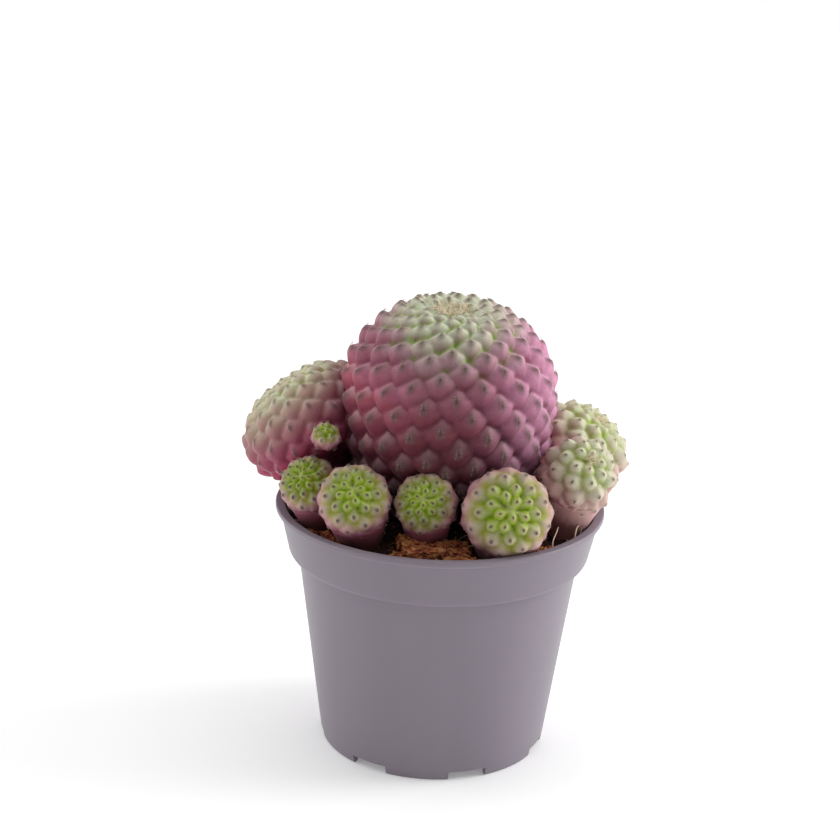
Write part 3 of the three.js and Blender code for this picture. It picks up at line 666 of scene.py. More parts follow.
def tubercle_tree():
    """Compares the tubercle of one tip with the tallest found so far at a point, and keeps the taller.

    A tubercle is a pyramid with its apex above its middle. Below the apex it is full and drops steeply at
    its edge, above it runs straight back, so ridges part the two from the apex to the left and right."""
    carried = ("Tall", "Right", "Up", "Edge", "Size", "Tint")
    shape = ("Lean", "Apex", "Ridge", "Full", "Stretch")
    inputs = {"Geometry": ("Tips",), "Int": ("Index",), "Vector": ("Point",), "Float": shape + carried}
    tree, given, out = new_tree("Taller tubercle", inputs, {"Float": carried})
    sampled = {}
    for name, kind in (
        ("spot", "FLOAT_VECTOR"), ("east", "FLOAT_VECTOR"), ("north", "FLOAT_VECTOR"), ("size", "FLOAT"),
        ("tint", "FLOAT"),
    ):
        field = add(tree, NAMED, {"Name": name}, data_type=kind)
        sampled[name] = add(
            tree, "GeometryNodeSampleIndex",
            {"Geometry": given["Tips"], "Value": field, "Index": given["Index"]},
            data_type=kind, domain="POINT", clamp=True,
        )
    away = add(tree, VECTOR_MINUS, [given["Point"], sampled["spot"]])
    real = []
    for way in ("east", "north"):
        along = add(tree, DOT, [away, sampled[way]], out=1)
        real.append(add(tree, OVER, [along, sampled["size"]]))
    x = add(tree, TIMES_PLUS, [real[1], given["Lean"], real[0]])
    y = add(tree, TIMES_PLUS, [real[0], given["Lean"], add(tree, OVER, [real[1], given["Stretch"]])])
    # The apex stands above the middle, so the lower side is longer than the upper one.
    rise = add(tree, MINUS, [y, given["Apex"]])
    longer = add(tree, PLUS, [1.0, given["Apex"]])
    shorter = add(tree, MINUS, [1.0, given["Apex"]])
    reach = add(tree, MIX, {0: add(tree, ABOVE, [rise, 0.0]), 2: longer, 3: shorter})
    high = add(tree, SMOOTH, {"Value": rise, 1: -0.25, 2: 0.15})
    power = add(tree, MIX, {0: high, 2: 1.6, 3: given["Ridge"]})
    across = add(tree, RAISED, [add(tree, ABSOLUTE, [x]), power])
    along = add(tree, ABSOLUTE, [add(tree, OVER, [rise, reach])])
    total = add(tree, PLUS, [across, add(tree, RAISED, [along, power])])
    edge = add(tree, RAISED, [total, add(tree, OVER, [1.0, power])])
    fullness = add(tree, MIX, {0: high, 2: given["Full"], 3: 1.15})
    tall = add(tree, MINUS, [1.0, add(tree, RAISED, [edge, fullness])])
    taller = add(tree, ABOVE, [tall, given["Tall"]])
    tree.links.new(add(tree, MATH, [tall, given["Tall"], 0.08], operation="SMOOTH_MAX"), out["Tall"])
    found = {"Right": x, "Up": y, "Edge": edge, "Size": sampled["size"], "Tint": sampled["tint"]}
    for name, value in found.items():
        tree.links.new(add(tree, MIX, {0: taller, 2: given[name], 3: value}), out[name])
    return tree


GEOMETRY = {"Geometry": ("Geometry",)}
STEM_INPUTS = {
    "Int": ("Around", "Along", "Tips", "Spines", "Tuft", "Seed"),
    "Float": (
        "Radius", "Rise", "Drop", "Dimple", "Foot", "Top", "Start", "Turn", "Step", "Open", "Stray", "Lean",
        "Apex", "Ridge", "Full", "Stretch", "Relief", "Outer Relief", "Areole Width", "Areole Height",
        "Areole Rise", "Young", "Spine Length", "Spine Radius",
    ),
    "Material": ("Skin", "Horn"),
}


def on_envelope(tree, envelope, given, angle, polar):
    """The point of a stem's envelope at an angle and polar angle, and the directions there."""
    node = add(tree, "GeometryNodeGroup", out=None, node_tree=envelope)
    shape = {key: given[key] for key in ("Radius", "Rise", "Drop", "Dimple")}
    for key, value in {"Angle": angle, "Polar": polar, **shape}.items():
        tree.links.new(value, node.inputs[key])
    return node.outputs


def stem_tips(tree, given, envelope):
    """Points at the tips of the tubercles, along one long helix.

    Each is one turn on and one step down from the last. A step grows towards the crown, where tubercles
    are smaller, but not as small as their ring. Below the widest place the step is shorter by as much as
    the body is longer there."""
    index = add(tree, "GeometryNodeInputIndex")
    jitter = add(tree, RANDOM_VECTOR, {0: (-1, -1, -1), 1: (1, 1, 1), "Seed": given["Seed"]})
    jitter = add(tree, SCALED, {0: jitter, "Scale": given["Stray"]})
    odd = add(tree, SPLIT, [jitter], out=None).outputs
    number = add(tree, MINUS, [given["Top"], index])
    both = add(tree, PLUS, [given["Step"], given["Open"]])
    rate = add(tree, RAISED, [add(tree, TIMES, [given["Step"], both]), 0.5])
    widen = add(tree, RAISED, [add(tree, OVER, [both, given["Step"]]), 0.5])
    shorter = add(tree, OVER, [given["Rise"], given["Drop"]])
    shorter = add(tree, MIX, {0: add(tree, MATH, [number, 0.0], operation="LESS_THAN"), 2: 1.0, 3: shorter})
    level = add(tree, TIMES, [add(tree, TIMES, [number, rate]), shorter])
    level = add(tree, TIMES, [add(tree, MATH, [level], operation="TANH"), widen])
    level = add(tree, MATH, [level, 0.9995], operation="MINIMUM")
    polar = add(tree, MATH, [level], operation="ARCCOSINE")
    sine = add(tree, SINE, [polar])
    share = add(tree, RAISED, [sine, 2.0])
    share = add(tree, TIMES_PLUS, [share, given["Step"], given["Open"]])
    pitch = add(tree, RAISED, [add(tree, TIMES, [share, 2 * math.pi]), 0.5])
    pitch = add(tree, TIMES, [pitch, 0.72])
    angle = add(tree, TIMES_PLUS, [index, given["Turn"], given["Start"]])
    aside = add(tree, OVER, [add(tree, TIMES, [odd[0], pitch]), sine])
    angle = add(tree, PLUS, [angle, aside])
    polar = add(tree, TIMES_PLUS, [odd[1], pitch, polar])
    size = add(tree, TIMES, [pitch, given["Radius"]])
    size = add(tree, TIMES, [size, add(tree, PLUS, [odd[2], 1.0])])
    here = on_envelope(tree, envelope, given, angle, polar)
    tips = add(tree, POINTS, {"Count": given["Tips"], "Position": here["Point"], "Radius": 0.001})
    tint = add(tree, RANDOM_NUMBER, {2: -1.0, 3: 1.0, "Seed": 31}, out=1)
    for label, value, kind in (
        ("east", here["East"], "FLOAT_VECTOR"), ("north", here["Up"], "FLOAT_VECTOR"),
        ("way", here["Normal"], "FLOAT_VECTOR"), ("spot", here["Point"], "FLOAT_VECTOR"),
        ("size", size, "FLOAT"), ("tint", tint, "FLOAT"), ("level", level, "FLOAT"),
    ):
        tips = add(
            tree, STORE, {"Geometry": tips, "Name": label, "Value": value}, data_type=kind, domain="POINT"
        )
    return tips


def tallest_tubercle(tree, given, tips, point, neighbours):
    """The tallest tubercle at a point: the nearest tip's or one of its neighbours'."""
    tubercle = tubercle_tree()
    nearest = add(
        tree, "GeometryNodeSampleNearest", {"Geometry": tips, "Sample Position": point}, domain="POINT"
    )
    best = None
    for off in [0] + [sign * n for n in neighbours for sign in (1, -1)]:
        node = add(tree, "GeometryNodeGroup", out=None, node_tree=tubercle)
        wanted = {key: given[key] for key in ("Lean", "Apex", "Ridge", "Full", "Stretch")}
        wanted.update(Tips=tips, Point=point, Index=add(tree, PLUS, [nearest, float(off)]))
        if best:
            wanted.update({key: best[key] for key in ("Tall", "Right", "Up", "Edge", "Size", "Tint")})
        else:
            node.inputs["Tall"].default_value = -50.0
        for key, value in wanted.items():
            tree.links.new(value, node.inputs[key])
        best = node.outputs
    return best


def relief(tree, given, found, polar, fade):
    """How far the skin lies inside the envelope, and how deep the grooves are there. Relief is in shares
    of a tubercle's size, less on the outer and lower skin, and none near the foot."""
    limits = {1: 0.9, 2: 0.25, 3: given["Relief"], 4: given["Outer Relief"]}
    outer = add(tree, SMOOTH, {"Value": add(tree, COSINE, [polar]), **limits})
    start = add(tree, SMOOTH, {"Value": polar, 1: 0.02, 2: 0.22, 3: 0.35, 4: 1.0})
    depth = add(tree, TIMES, [add(tree, TIMES, [outer, found["Size"]]), start])
    tall = add(tree, MATH, [found["Tall"], -0.6], operation="MAXIMUM")
    sunk = add(tree, MIX, {0: fade, 2: 0.4, 3: add(tree, MINUS, [1.0, tall])})
    pull = add(tree, TIMES, [sunk, add(tree, TIMES, [depth, -1.0])])
    return pull, depth


def areole(tree, given, found, polar, fade):
    """The areole, an upright felt cushion on the apex: its height in shares of the full one, and the halo
    that its colours are drawn by."""
    reach = []
    above = add(tree, MINUS, [found["Up"], given["Areole Rise"]])
    for way, limit in ((found["Right"], "Areole Width"), (above, "Areole Height")):
        real = add(tree, TIMES, [way, found["Size"]])
        real = add(tree, OVER, [real, given[limit]])
        reach.append(add(tree, RAISED, [real, 2.0]))
    shrunk = add(tree, RANGE, {"Value": polar, 1: 0.1, 2: 0.8, 3: 0.55, 4: 1.0})
    oval = add(tree, RAISED, [add(tree, PLUS, reach), 0.5])
    oval = add(tree, OVER, [oval, shrunk])
    cushion = add(tree, SMOOTH, {"Value": oval, 1: 1.45, 2: 0.6})
    halo = add(tree, RANGE, {"Value": oval, 1: 4.0, 2: 0.0})
    return (add(tree, TIMES, [value, fade]) for value in (cushion, halo))


def stem_skin(tree, given, envelope, tips, neighbours):
    """The body: a grid wound round the envelope and pulled in from it between the tubercles."""
    columns = add(tree, PLUS, [given["Around"], 1.0])
    rows = add(tree, PLUS, [given["Along"], 1.0])
    made = add(tree, "GeometryNodeMeshGrid", [1.0, 1.0, columns, rows])
    spot = add(tree, SPLIT, [add(tree, "GeometryNodeInputPosition")], out=None).outputs
    angle = add(tree, TIMES, [spot[0], 2 * math.pi])
    along = add(tree, PLUS, [spot[1], 0.5])
    polar = add(tree, RANGE, {"Value": along, 3: given["Foot"], 4: 0.0})
    body = on_envelope(tree, envelope, given, angle, polar)
    found = tallest_tubercle(tree, given, tips, body["Point"], neighbours)
    foot = add(tree, MINUS, [given["Foot"], polar])
    fade = add(tree, SMOOTH, {"Value": foot, 1: 0.02, 2: 0.6})
    pull, depth = relief(tree, given, found, polar, fade)
    cushion, halo = areole(tree, given, found, polar, fade)
    pull = add(tree, TIMES_PLUS, [cushion, CUSHION, pull])

    # Slow unevenness of the whole skin, so no two flanks are alike.
    lumps = add(
        tree, NOISE, {"Vector": body["Point"], "W": given["Top"], "Scale": 230.0, "Detail": 2.0},
        noise_dimensions="4D",
    )
    uneven = add(tree, TIMES, [add(tree, PLUS, [lumps, -0.5]), 0.3])
    pull = add(tree, TIMES_PLUS, [uneven, depth, pull])
    pull = add(tree, BLUR, {"Value": pull, "Iterations": 1, "Weight": 0.5})
    pulled = add(tree, SCALED, {0: body["Normal"], "Scale": pull})
    place = add(tree, VECTOR_PLUS, [body["Point"], pulled])
    # The first and last rows close on the axis.
    last = add(tree, ABSOLUTE, [add(tree, MINUS, [along, 0.5])])
    last = add(tree, ABOVE, [last, 0.4999])
    inner = add(tree, MINUS, [1.0, last])
    place = add(tree, VECTOR, [place, add(tree, COMBINE, [inner, inner, 1.0])], operation="MULTIPLY")

    # Tubercles meet at a line that the grid follows in steps, so what is coloured by it is smoothed.
    edge, upper = (
        add(tree, BLUR, {"Value": value, "Iterations": 2, "Weight": 0.7})
        for value in (found["Edge"], found["Up"])
    )
    level = add(tree, COSINE, [polar])
    for label, value in (
        ("groove", edge), ("areole", halo), ("level", level), ("upper", upper), ("tint", found["Tint"]),
    ):
        made = add(tree, STORE_POINTS, {"Geometry": made, "Name": label, "Value": value})
    made = add(tree, MOVE, {"Geometry": made, "Position": place})
    made = add(tree, "GeometryNodeMergeByDistance", {"Geometry": made, "Distance": 1e-6})
    made = add(tree, "GeometryNodeSetShadeSmooth", {"Geometry": made, "Shade Smooth": True})
    return add(tree, COAT, {"Geometry": made, "Material": given["Skin"]})


def one_spine(tree, given):
    """One spine, three-sided, with the share of the way to its tip stored on it."""
    spine = add(
        tree, "GeometryNodeMeshCone", {
            "Vertices": 3, "Side Segments": 1, "Radius Top": 0.0, "Radius Bottom": given["Spine Radius"],
            "Depth": given["Spine Length"],
        }, fill_type="NGON",
    )
    along = add(tree, SPLIT, [add(tree, "GeometryNodeInputPosition")], out=2)
    along = add(tree, OVER, [along, given["Spine Length"]])
    return add(tree, STORE_POINTS, {"Geometry": spine, "Name": "tip", "Value": along})


def one_comb(tree, given, spine):
    """One comb: spines in two ranks that lean out to the sides, those at the ends leaning up and down."""
    rank = add(tree, "GeometryNodeInputIndex")
    side = add(tree, MATH, [rank, 2.0], operation="FLOORED_MODULO")
    side = add(tree, TIMES_PLUS, [side, 2.0, -1.0])
    last_rank = add(tree, PLUS, [given["Spines"], -1.0])
    level = add(tree, RANGE, {"Value": rank, 1: 0.0, 2: last_rank, 3: -1.0, 4: 1.0})
    foot = [add(tree, TIMES, [side, RANKS])]
    foot.append(add(tree, TIMES, [level, given["Areole Height"]]))
    foot = add(tree, COMBINE, [*foot, 0.0])
    comb = add(tree, POINTS, {"Count": given["Spines"], "Position": foot, "Radius": 0.001})
    bend = add(tree, RANDOM_NUMBER, {2: -0.22, 3: 0.22, "Seed": 5}, out=1)
    lean = add(tree, PLUS, [add(tree, TIMES, [side, 0.95]), bend])
    nod = add(tree, PLUS, [add(tree, TIMES, [level, -0.6]), bend])
    pose = add(tree, EULER, [add(tree, COMBINE, [nod, lean, 0.0])])
    long = add(tree, RANDOM_NUMBER, {2: 0.7, 3: 1.15, "Seed": 9}, out=1)
    long = add(tree, COMBINE, [1.0, 1.0, long])
    comb = add(tree, SCATTER, {"Points": comb, "Instance": spine, "Rotation": pose, "Scale": long})
    return add(tree, REALIZE, {"Geometry": comb})


def stem_combs(tree, given, tips, comb):
    """A comb of spines on each areole, smaller near the crown and young there."""
    way, east, north = (
        add(tree, NAMED, {"Name": label}, data_type="FLOAT_VECTOR") for label in ("way", "east", "north")
    )
    level, size = (add(tree, NAMED, {"Name": label}, data_type="FLOAT") for label in ("level", "size"))
    turn = add(tree, "FunctionNodeAxesToRotation", [way, east], primary_axis="Z", secondary_axis="X")
    small = add(tree, RANGE, {"Value": level, 1: 0.6, 2: 0.95, 3: 1.0, 4: 0.75})
    vary = add(tree, RANDOM_NUMBER, {2: 0.8, 3: 1.2, "Seed": 2}, out=1)
    small = add(tree, TIMES, [small, vary])
    young = add(tree, RANGE, {"Value": level, 1: 0.93, 2: 0.98})
    young = add(tree, MATH, [young, given["Young"]], operation="MAXIMUM")
    tips = add(tree, STORE_POINTS, {"Geometry": tips, "Name": "young", "Value": young})
    rise = add(tree, TIMES, [size, given["Areole Rise"]])
    back = add(tree, SCALED, {0: way, "Scale": -0.35})
    move = add(tree, VECTOR_PLUS, [north, back])
    move = add(tree, SCALED, {0: move, "Scale": rise})
    tips = add(tree, MOVE, {"Geometry": tips, "Offset": move})
    combs = add(tree, SCATTER, {"Points": tips, "Instance": comb, "Rotation": turn, "Scale": small})
    combs = add(tree, REALIZE, {"Geometry": combs})
    return add(tree, COAT, {"Geometry": combs, "Material": given["Horn"]})


def crown_tuft(tree, given, envelope, spine):
    """The tuft of young spines in the dimple, which lie every way."""
    turn = add(tree, RANDOM_NUMBER, {2: 0.0, 3: FULL_TURN, "Seed": 41}, out=1)
    out_by = add(tree, RANDOM_NUMBER, {2: 0.0, 3: 1.0, "Seed": 42}, out=1)
    out_by = add(tree, TIMES, [add(tree, RAISED, [out_by, 0.6]), 0.17])
    seat = on_envelope(tree, envelope, given, turn, out_by)
    tuft = add(tree, POINTS, {"Count": given["Tuft"], "Position": seat["Point"], "Radius": 0.001})
    tilt = add(tree, RANDOM_VECTOR, {0: (-1.25, -1.25, 0.0), 1: (1.25, 1.25, FULL_TURN), "Seed": 43})
    tilt = add(tree, EULER, [tilt])
    long = add(tree, RANDOM_VECTOR, {0: (1.4, 1.4, 0.9), 1: (2.2, 2.2, 1.7), "Seed": 44})
    tuft = add(tree, SCATTER, {"Points": tuft, "Instance": spine, "Rotation": tilt, "Scale": long})
    tuft = add(tree, REALIZE, {"Geometry": tuft})
    tuft = add(tree, STORE_POINTS, {"Geometry": tuft, "Name": "young", "Value": 1.0})
    return add(tree, COAT, {"Geometry": tuft, "Material": given["Horn"]})


def stem_tree(spirals):
    """A stem with a tubercle at each tip of one long helix, and the comb of spines on each areole.

    Tips are numbered down from the crown. A tip and those it may touch differ in number by the numbers
    of spirals, their sum, and the differences between them in turn."""
    neighbours = [sum(spirals), *spirals]
    while len(neighbours) < 6:
        neighbours.append(abs(neighbours[-2] - neighbours[-1]))
    neighbours = [n for n in dict.fromkeys(neighbours) if n]
    name = "Stem of {} and {} spirals".format(*spirals)
    tree, given, out = new_tree(name, STEM_INPUTS, GEOMETRY)
    envelope = envelope_tree()
    tips = stem_tips(tree, given, envelope)
    spine = one_spine(tree, given)
    skin = stem_skin(tree, given, envelope, tips, neighbours)
    combs = stem_combs(tree, given, tips, one_comb(tree, given, spine))
    tuft = crown_tuft(tree, given, envelope, spine)
    tree.links.new(add(tree, JOIN, {"Geometry": [skin, combs, tuft]}), out["Geometry"])
    return tree


def helix(stem):
    """Where a stem's tips run: the number, start angle, turn and steps of its one long helix.

    p and q are the spirals that run up to the right and down to the right. Tip (m, n) on them has number
    m q - n p, and turns on by (m p + n q) steps of the lattice."""
    p, q = stem["spirals"]
    unit = 2 * math.pi / (p * p + q * q)
    m, n = next((m, n) for m in range(p) for n in range(q) if m * q - n * p == 1)
    a, b = stem["first"]
    total = stem["shape"]["Squash"] * unit
    opened = stem["open"] * total
    step = total - opened
    rate, widen = math.sqrt(step * total), math.sqrt(total / step)
    first, crown = a * q - b * p, math.atanh(1 / widen) / rate
    lowest = -math.atanh(-math.tanh(stem["low"]) / widen) / rate * stem["drop"] / stem["rise"]
    top = math.floor(crown - first - 0.35)
    turn = (m * p + n * q) * unit
    return {
        "Tips": top - math.ceil(lowest - first) + 1, "Top": first + top, "Turn": -turn,
        "Start": (a * p + b * q) * unit + top * turn, "Step": step, "Open": opened,
    }


# ---- Stems in place ----
def own_frame(stem):
    """A stem's own axes: z along its growth, x as near to the world's +X as it can be."""
    z = Vector(stem["axis"]).normalized()
    x = (Vector((1, 0, 0)) - z * z.x).normalized()
    y = z.cross(x)
    return np.array([x, y, z])


def cleared(co, neighbours):
    """Points moved straight out of the neighbouring stems and off the pot's lip. Flesh presses a little
    way in between the tips it leans on."""
    co = co.copy()
    for other in neighbours:
        axes, middle = own_frame(other), np.array(other["at"])
        local = (co - middle) @ axes.T
        end = np.where(local[:, 2] > 0, other["rise"], other["drop"]) - PRESS
        side = other["radius"] - PRESS
        depth = np.sqrt((local[:, 0] / side) ** 2 + (local[:, 1] / side) ** 2 + (local[:, 2] / end) ** 2)
        inside = depth < 1
        co[inside] = middle + (co[inside] - middle) / depth[inside, None]
    out = np.hypot(co[:, 0], co[:, 1])
    away = np.stack([out, co[:, 2]], axis=1) - LIP_MIDDLE
    gap = np.linalg.norm(away, axis=1)
    near = gap < LIP_CLEAR
    moved = away[near] / gap[near, None] * LIP_CLEAR + LIP_MIDDLE
    co[near, :2] *= (moved[:, 0] / out[near])[:, None]
    co[near, 2] = moved[:, 1]
    return co


def neck_mesh(name, stem):
    """The stem's lower end, from inside the body down to its root in the soil."""
    start, middle = Vector(stem["root"]), Vector(stem["at"])
    along = middle - start
    length = along.length - NECK_INSIDE * stem["radius"]
    level = min(0.95, max(0.05, (SOIL - start.z) / along.z / (length / along.length)))
    top, waist, low = stem["neck"]
    profile = [(0, 0)]
    for k in range(NECK_ROWS + 1):
        t = k / NECK_ROWS
        if t < level:
            radius = low + (waist - low) * t / level
        else:
            radius = waist + (top - waist) * ((t - level) / (1 - level)) ** 1.15
        profile.append((radius, t * length))
    profile.append((0, length))
    co, faces = turned(profile, 64)
    turn = Vector((0, 0, 1)).rotation_difference(along).to_matrix()
    co = co @ np.array(turn).T + np.array(start)
    mesh = plain_mesh(name, co * MM, faces)
    mesh.materials.append(material(stem["skin"]))
    mesh.polygons.foreach_set("use_smooth", [True] * len(mesh.polygons))
    for label, value in (("groove", 0.4), ("areole", 0.0), ("upper", -0.2), ("tint", 0.0)):
        store(mesh, label, [value] * len(co))
    # From corky brown in the soil to the colour of the body's underside, through the dark foot of the
    # skin's ramp, which is partly painted shade.
    height = (co - np.array(start)) @ np.array(along.normalized()) / length
    store(mesh, "level", np.interp(height, (level, 1), stem["foot"]))
    return mesh


def grow(name, stem, tree, neighbours, extra=()):
    """Builds one stem's body, combs and neck as a single mesh in the frame."""
    s, grown, fine = settings("stems"), stem["radius"] > GROWN, stem["fine"]
    values = {
        "Around": max(24, int(s.around * fine)), "Along": max(16, int(s.along * fine)),
        "Radius": stem["radius"] * MM, "Rise": stem["rise"] * MM, "Drop": stem["drop"] * MM,
        "Foot": math.acos(math.tanh(stem["low"] - BELOW)), **stem["shape"], **helix(stem),
        "Stray": s.stray, "Seed": int(stem["radius"] * 10),
        "Areole Width": stem["areole"][0] * MM, "Areole Height": stem["areole"][1] * MM,
        "Spines": s.spines if grown else s.spines // 2, "Young": 0.0 if grown else YOUNG,
        "Spine Length": s.spine_length * stem["spine"] / MAIN["spine"],
        "Spine Radius": s.spine_width * stem["spine"] / MAIN["spine"],
        "Skin": material(stem["skin"]), "Horn": material("spines"),
    }
    mesh = evaluate(name, tree, values)
    co = coordinates(mesh) / MM @ own_frame(stem) + np.array(stem["at"])
    settle(mesh, cleared(co, neighbours))
    neck = neck_mesh(name + "_neck", stem)
    settle(neck, coordinates(neck) / MM)
    parts = [placed(m.name, m) for m in (mesh, neck, *extra)]
    with bpy.context.temp_override(
        active_object=parts[0], selected_editable_objects=parts, object=parts[0]
    ):
        bpy.ops.object.join()
    whole = parts[0].data
    bpy.data.objects.remove(parts[0])
    whole.name = name
    return whole


class RebutiaBuildMain(bpy.types.Operator):
    """Build the large main stem"""

    bl_idname = "rebutia.build_main"
    bl_label = "Main stem"

    def execute(self, context):
        mesh = grow("main_stem_flesh", MAIN, stem_tree(MAIN["spirals"]), [])
        piece("main_stem_flesh", mesh, "main_stem")
        return {"FINISHED"}


class RebutiaBuildOffsets(bpy.types.Operator):
    """Build the offsets round the main stem, each leaning on the ones before it"""

    bl_idname = "rebutia.build_offsets"
    bl_label = "Offsets"

    def execute(self, context):
        kinds = dict.fromkeys(stem["spirals"] for stem in (BUD, *OFFSETS.values()))
        trees = {spirals: stem_tree(spirals) for spirals in kinds}
        before = [MAIN]
        for name, stem in OFFSETS.items():
            extra = [grow("bud", BUD, trees[BUD["spirals"]], [MAIN])] if name == BUD_PARENT else []
            mesh = grow(name + "_flesh", stem, trees[stem["spirals"]], before, extra)
            piece(name + "_flesh", mesh, name)
            before.append(stem)
        return {"FINISHED"}


# ---- Pot ----
# Radii and heights in millimetres.
BOTTOM = (2.6, 3.8)  # underside and upper side of the pot's bottom
STEP = [(36.4, 51.4), (38.4, 51.9), (38.95, 52.8)]  # where the wall steps out to the collar
STEP_INSIDE = [(37.75, 53.2), (35.2, 52.3)]
NOTCHES = 7  # in the foot ring, with a drain hole between each two and one in the middle
NOTCH_START = -123  # degrees
NOTCH = (5.6, 10, 4.6, 1)  # depth, width and twice the height
HOLE, HOLE_RING = 3, 20  # radius of a drain hole, and of the ring they lie on


def pot_profile(s):
    """The pot's section, from the middle of its underside round to the middle of its inside."""
    top, lip, foot, wall = s.height / MM, s.lip / MM, s.foot / MM, s.wall / MM
    profile = [
        (0, BOTTOM[0]), (foot - 1.8, BOTTOM[0]), (foot - 1.8, 0), (foot - 0.3, 0), (foot, 0.5),
        (foot + 0.35, 2.4), *STEP, (41.3, top - 1.7), (lip, top - 1.3), (lip, top), (lip - 2.4, top),
        *STEP_INSIDE, (foot - wall + 0.2, BOTTOM[1]), (0, BOTTOM[1]),
    ]
    return rounded(profile, 0.45, 4)


def drill(tool, turn, radius):
    """Adds the bit of one drain hole to the cutter, at a turn and radius round the pot's axis."""
    place = Matrix.Rotation(turn, 4, "Z") @ Matrix.Translation((radius, 0, 4))
    bmesh.ops.create_cone(
        tool, cap_ends=True, segments=32, radius1=HOLE, radius2=HOLE, depth=6, matrix=place
    )


def pot_cutter(foot):
    """The notches and drain holes, as one mesh to be cut out."""
    tool = bmesh.new()
    for k in range(NOTCHES):
        angle = math.radians(NOTCH_START + 360 / NOTCHES * k)
        place = Matrix.Rotation(angle, 4, "Z") @ Matrix.Translation((foot - 1, 0, 0))
        bmesh.ops.create_cube(tool, size=1, matrix=place @ Matrix.Diagonal(NOTCH))
        drill(tool, angle + math.pi / NOTCHES, HOLE_RING)
    drill(tool, 0, 0)
    cutter = bpy.data.meshes.new("cutter")
    tool.to_mesh(cutter)
    tool.free()
    return cutter


class RebutiaBuildPot(bpy.types.Operator):
    """Build the nursery pot with its lip, collar, foot notches and drain holes"""

    bl_idname = "rebutia.build_pot"
    bl_label = "Pot"

    def execute(self, context):
        s = settings("pot")
        co, faces = turned(pot_profile(s), s.around)
        wall = placed("pot_wall", plain_mesh("pot_wall", co, faces))
        cutter = placed("cutter", pot_cutter(s.foot / MM))
        cut = wall.modifiers.new("Cut", "BOOLEAN")
        cut.operation = "DIFFERENCE"
        cut.object = cutter
        cut.solver = "EXACT"
        made = as_mesh(wall)
        bpy.data.objects.remove(cutter)
        made.materials.clear()
        made.materials.append(material("pot"))
        settle(made, coordinates(made))
        made.shade_smooth()
        made.set_sharp_from_angle(angle=math.radians(32))
        piece("pot_wall", made, "pot")
        return {"FINISHED"}


# ---- Soil ----
CHIPS = [  # x, y, z, length, width, thickness in millimetres, turn and tip in degrees
    (-1, -29, 61.2, 16, 6.5, 3.2, 8, 10), (5.5, -33, 60.8, 8, 4, 2.4, -35, 8),
    (-11.5, -32.5, 60.6, 7, 4, 2.2, 50, -12), (26.5, -25, 60.6, 7, 4, 2.4, 60, 10),
    (33, 22, 60.6, 8, 4.5, 2.6, -40, 12), (19, 29, 60.9, 12, 6, 3, -20, -8),
    (4, 33, 60.7, 9, 5, 2.6, 35, 10), (-11, 29, 61, 13, 6, 3, 12, 9),
    (-26, 26, 60.7, 9, 5, 2.8, 70, -10), (-17, 20, 60.5, 7, 4, 2.2, -55, 8),
]
CRUMBS = [  # smaller bits of bark, in the same order
    (-31.4, -17.6, 61.6, 3.4, 2.2, 1.6, 40, 20), (-28.6, -20.6, 61.8, 2.8, 2.4, 1.8, -20, -25),
    (-27.2, -23.4, 61.9, 4, 2.4, 1.8, 35, 15), (-24.6, -26.2, 61.7, 2.6, 1.8, 1.6, 80, -20),
    (-8.6, -27.5, 62.4, 3.2, 2.6, 2.4, 20, 30), (-5.2, -31, 62, 3.6, 2.2, 2, -30, -20),
    (2.5, -31.5, 61.9, 3, 2, 1.6, 60, 10), (-2.2, -26.4, 63.2, 3.4, 2.4, 1.6, 10, 25),
]
ROOTS = [  # dry roots by the wall, as points in millimetres
    [(27.9, -27.9, 63), (27.6, -27.6, 65), (28, -26.5, 66.2), (28.8, -24.8, 67.2), (29.2, -22.8, 67.7)],
    [(33.7, -20.1, 64), (33.9, -19.2, 66), (34.9, -15.9, 65.8), (35.8, -14.9, 64.4), (35.2, -16.8, 63.4)],
]
MOUND = 2.2  # the soil stands this much higher round the stems than at the wall
MOUND_EDGE, MOUND_WIDTH = 37.9, 12  # the mound starts at this radius and rises over this distance
INSIDE = [(27.6, 4.2), (34.7, 52.3), (37.2, 53.6)]  # the soil's side, from the bottom up
SOIL_EDGE, CHIP_EDGE = 38.3, 38.6  # the largest radii of the soil's surface and of the bark on it


def mound(radius):
    """The share of the mound's height at a distance from the pot's axis."""
    return min(1, (MOUND_EDGE - radius) / MOUND_WIDTH)


def within(co, limit):
    """Points drawn in to the largest radius they may have."""
    out = np.hypot(co[:, 0], co[:, 1])
    co[:, :2] *= np.minimum(1, limit / np.maximum(out, 1e-9))[:, None]
    return co


def crumb(tree, here):
    """A knobbly crumb, with the sizes, turns and tones that it is scattered in."""
    bit = add(tree, "GeometryNodeMeshIcoSphere", {"Radius": 0.6 * MM, "Subdivisions": 1})
    knobs = add(tree, NOISE, {"Vector": here, "Scale": 1500.0, "Detail": 1.0}, out=1)
    knobs = add(tree, VECTOR_MINUS, [knobs, (0.5, 0.5, 0.5)])
    knobs = add(tree, SCALED, {0: knobs, "Scale": 1.2 * MM})
    bit = add(tree, MOVE, {"Geometry": bit, "Offset": knobs})
    size = add(tree, RANDOM_VECTOR, {0: (0.35, 0.3, 0.25), 1: (1.6, 1.2, 0.9), "Seed": 3})
    spin = add(tree, RANDOM_VECTOR, {0: (-0.5, -0.5, 0.0), 1: (0.5, 0.5, FULL_TURN), "Seed": 7})
    tone = add(tree, RANDOM_NUMBER, {2: 0.0, 3: 1.0, "Seed": 8}, out=1)
    tone = add(tree, TIMES, [add(tree, RAISED, [tone, 3.2]), 1.25])
    return bit, size, spin, tone


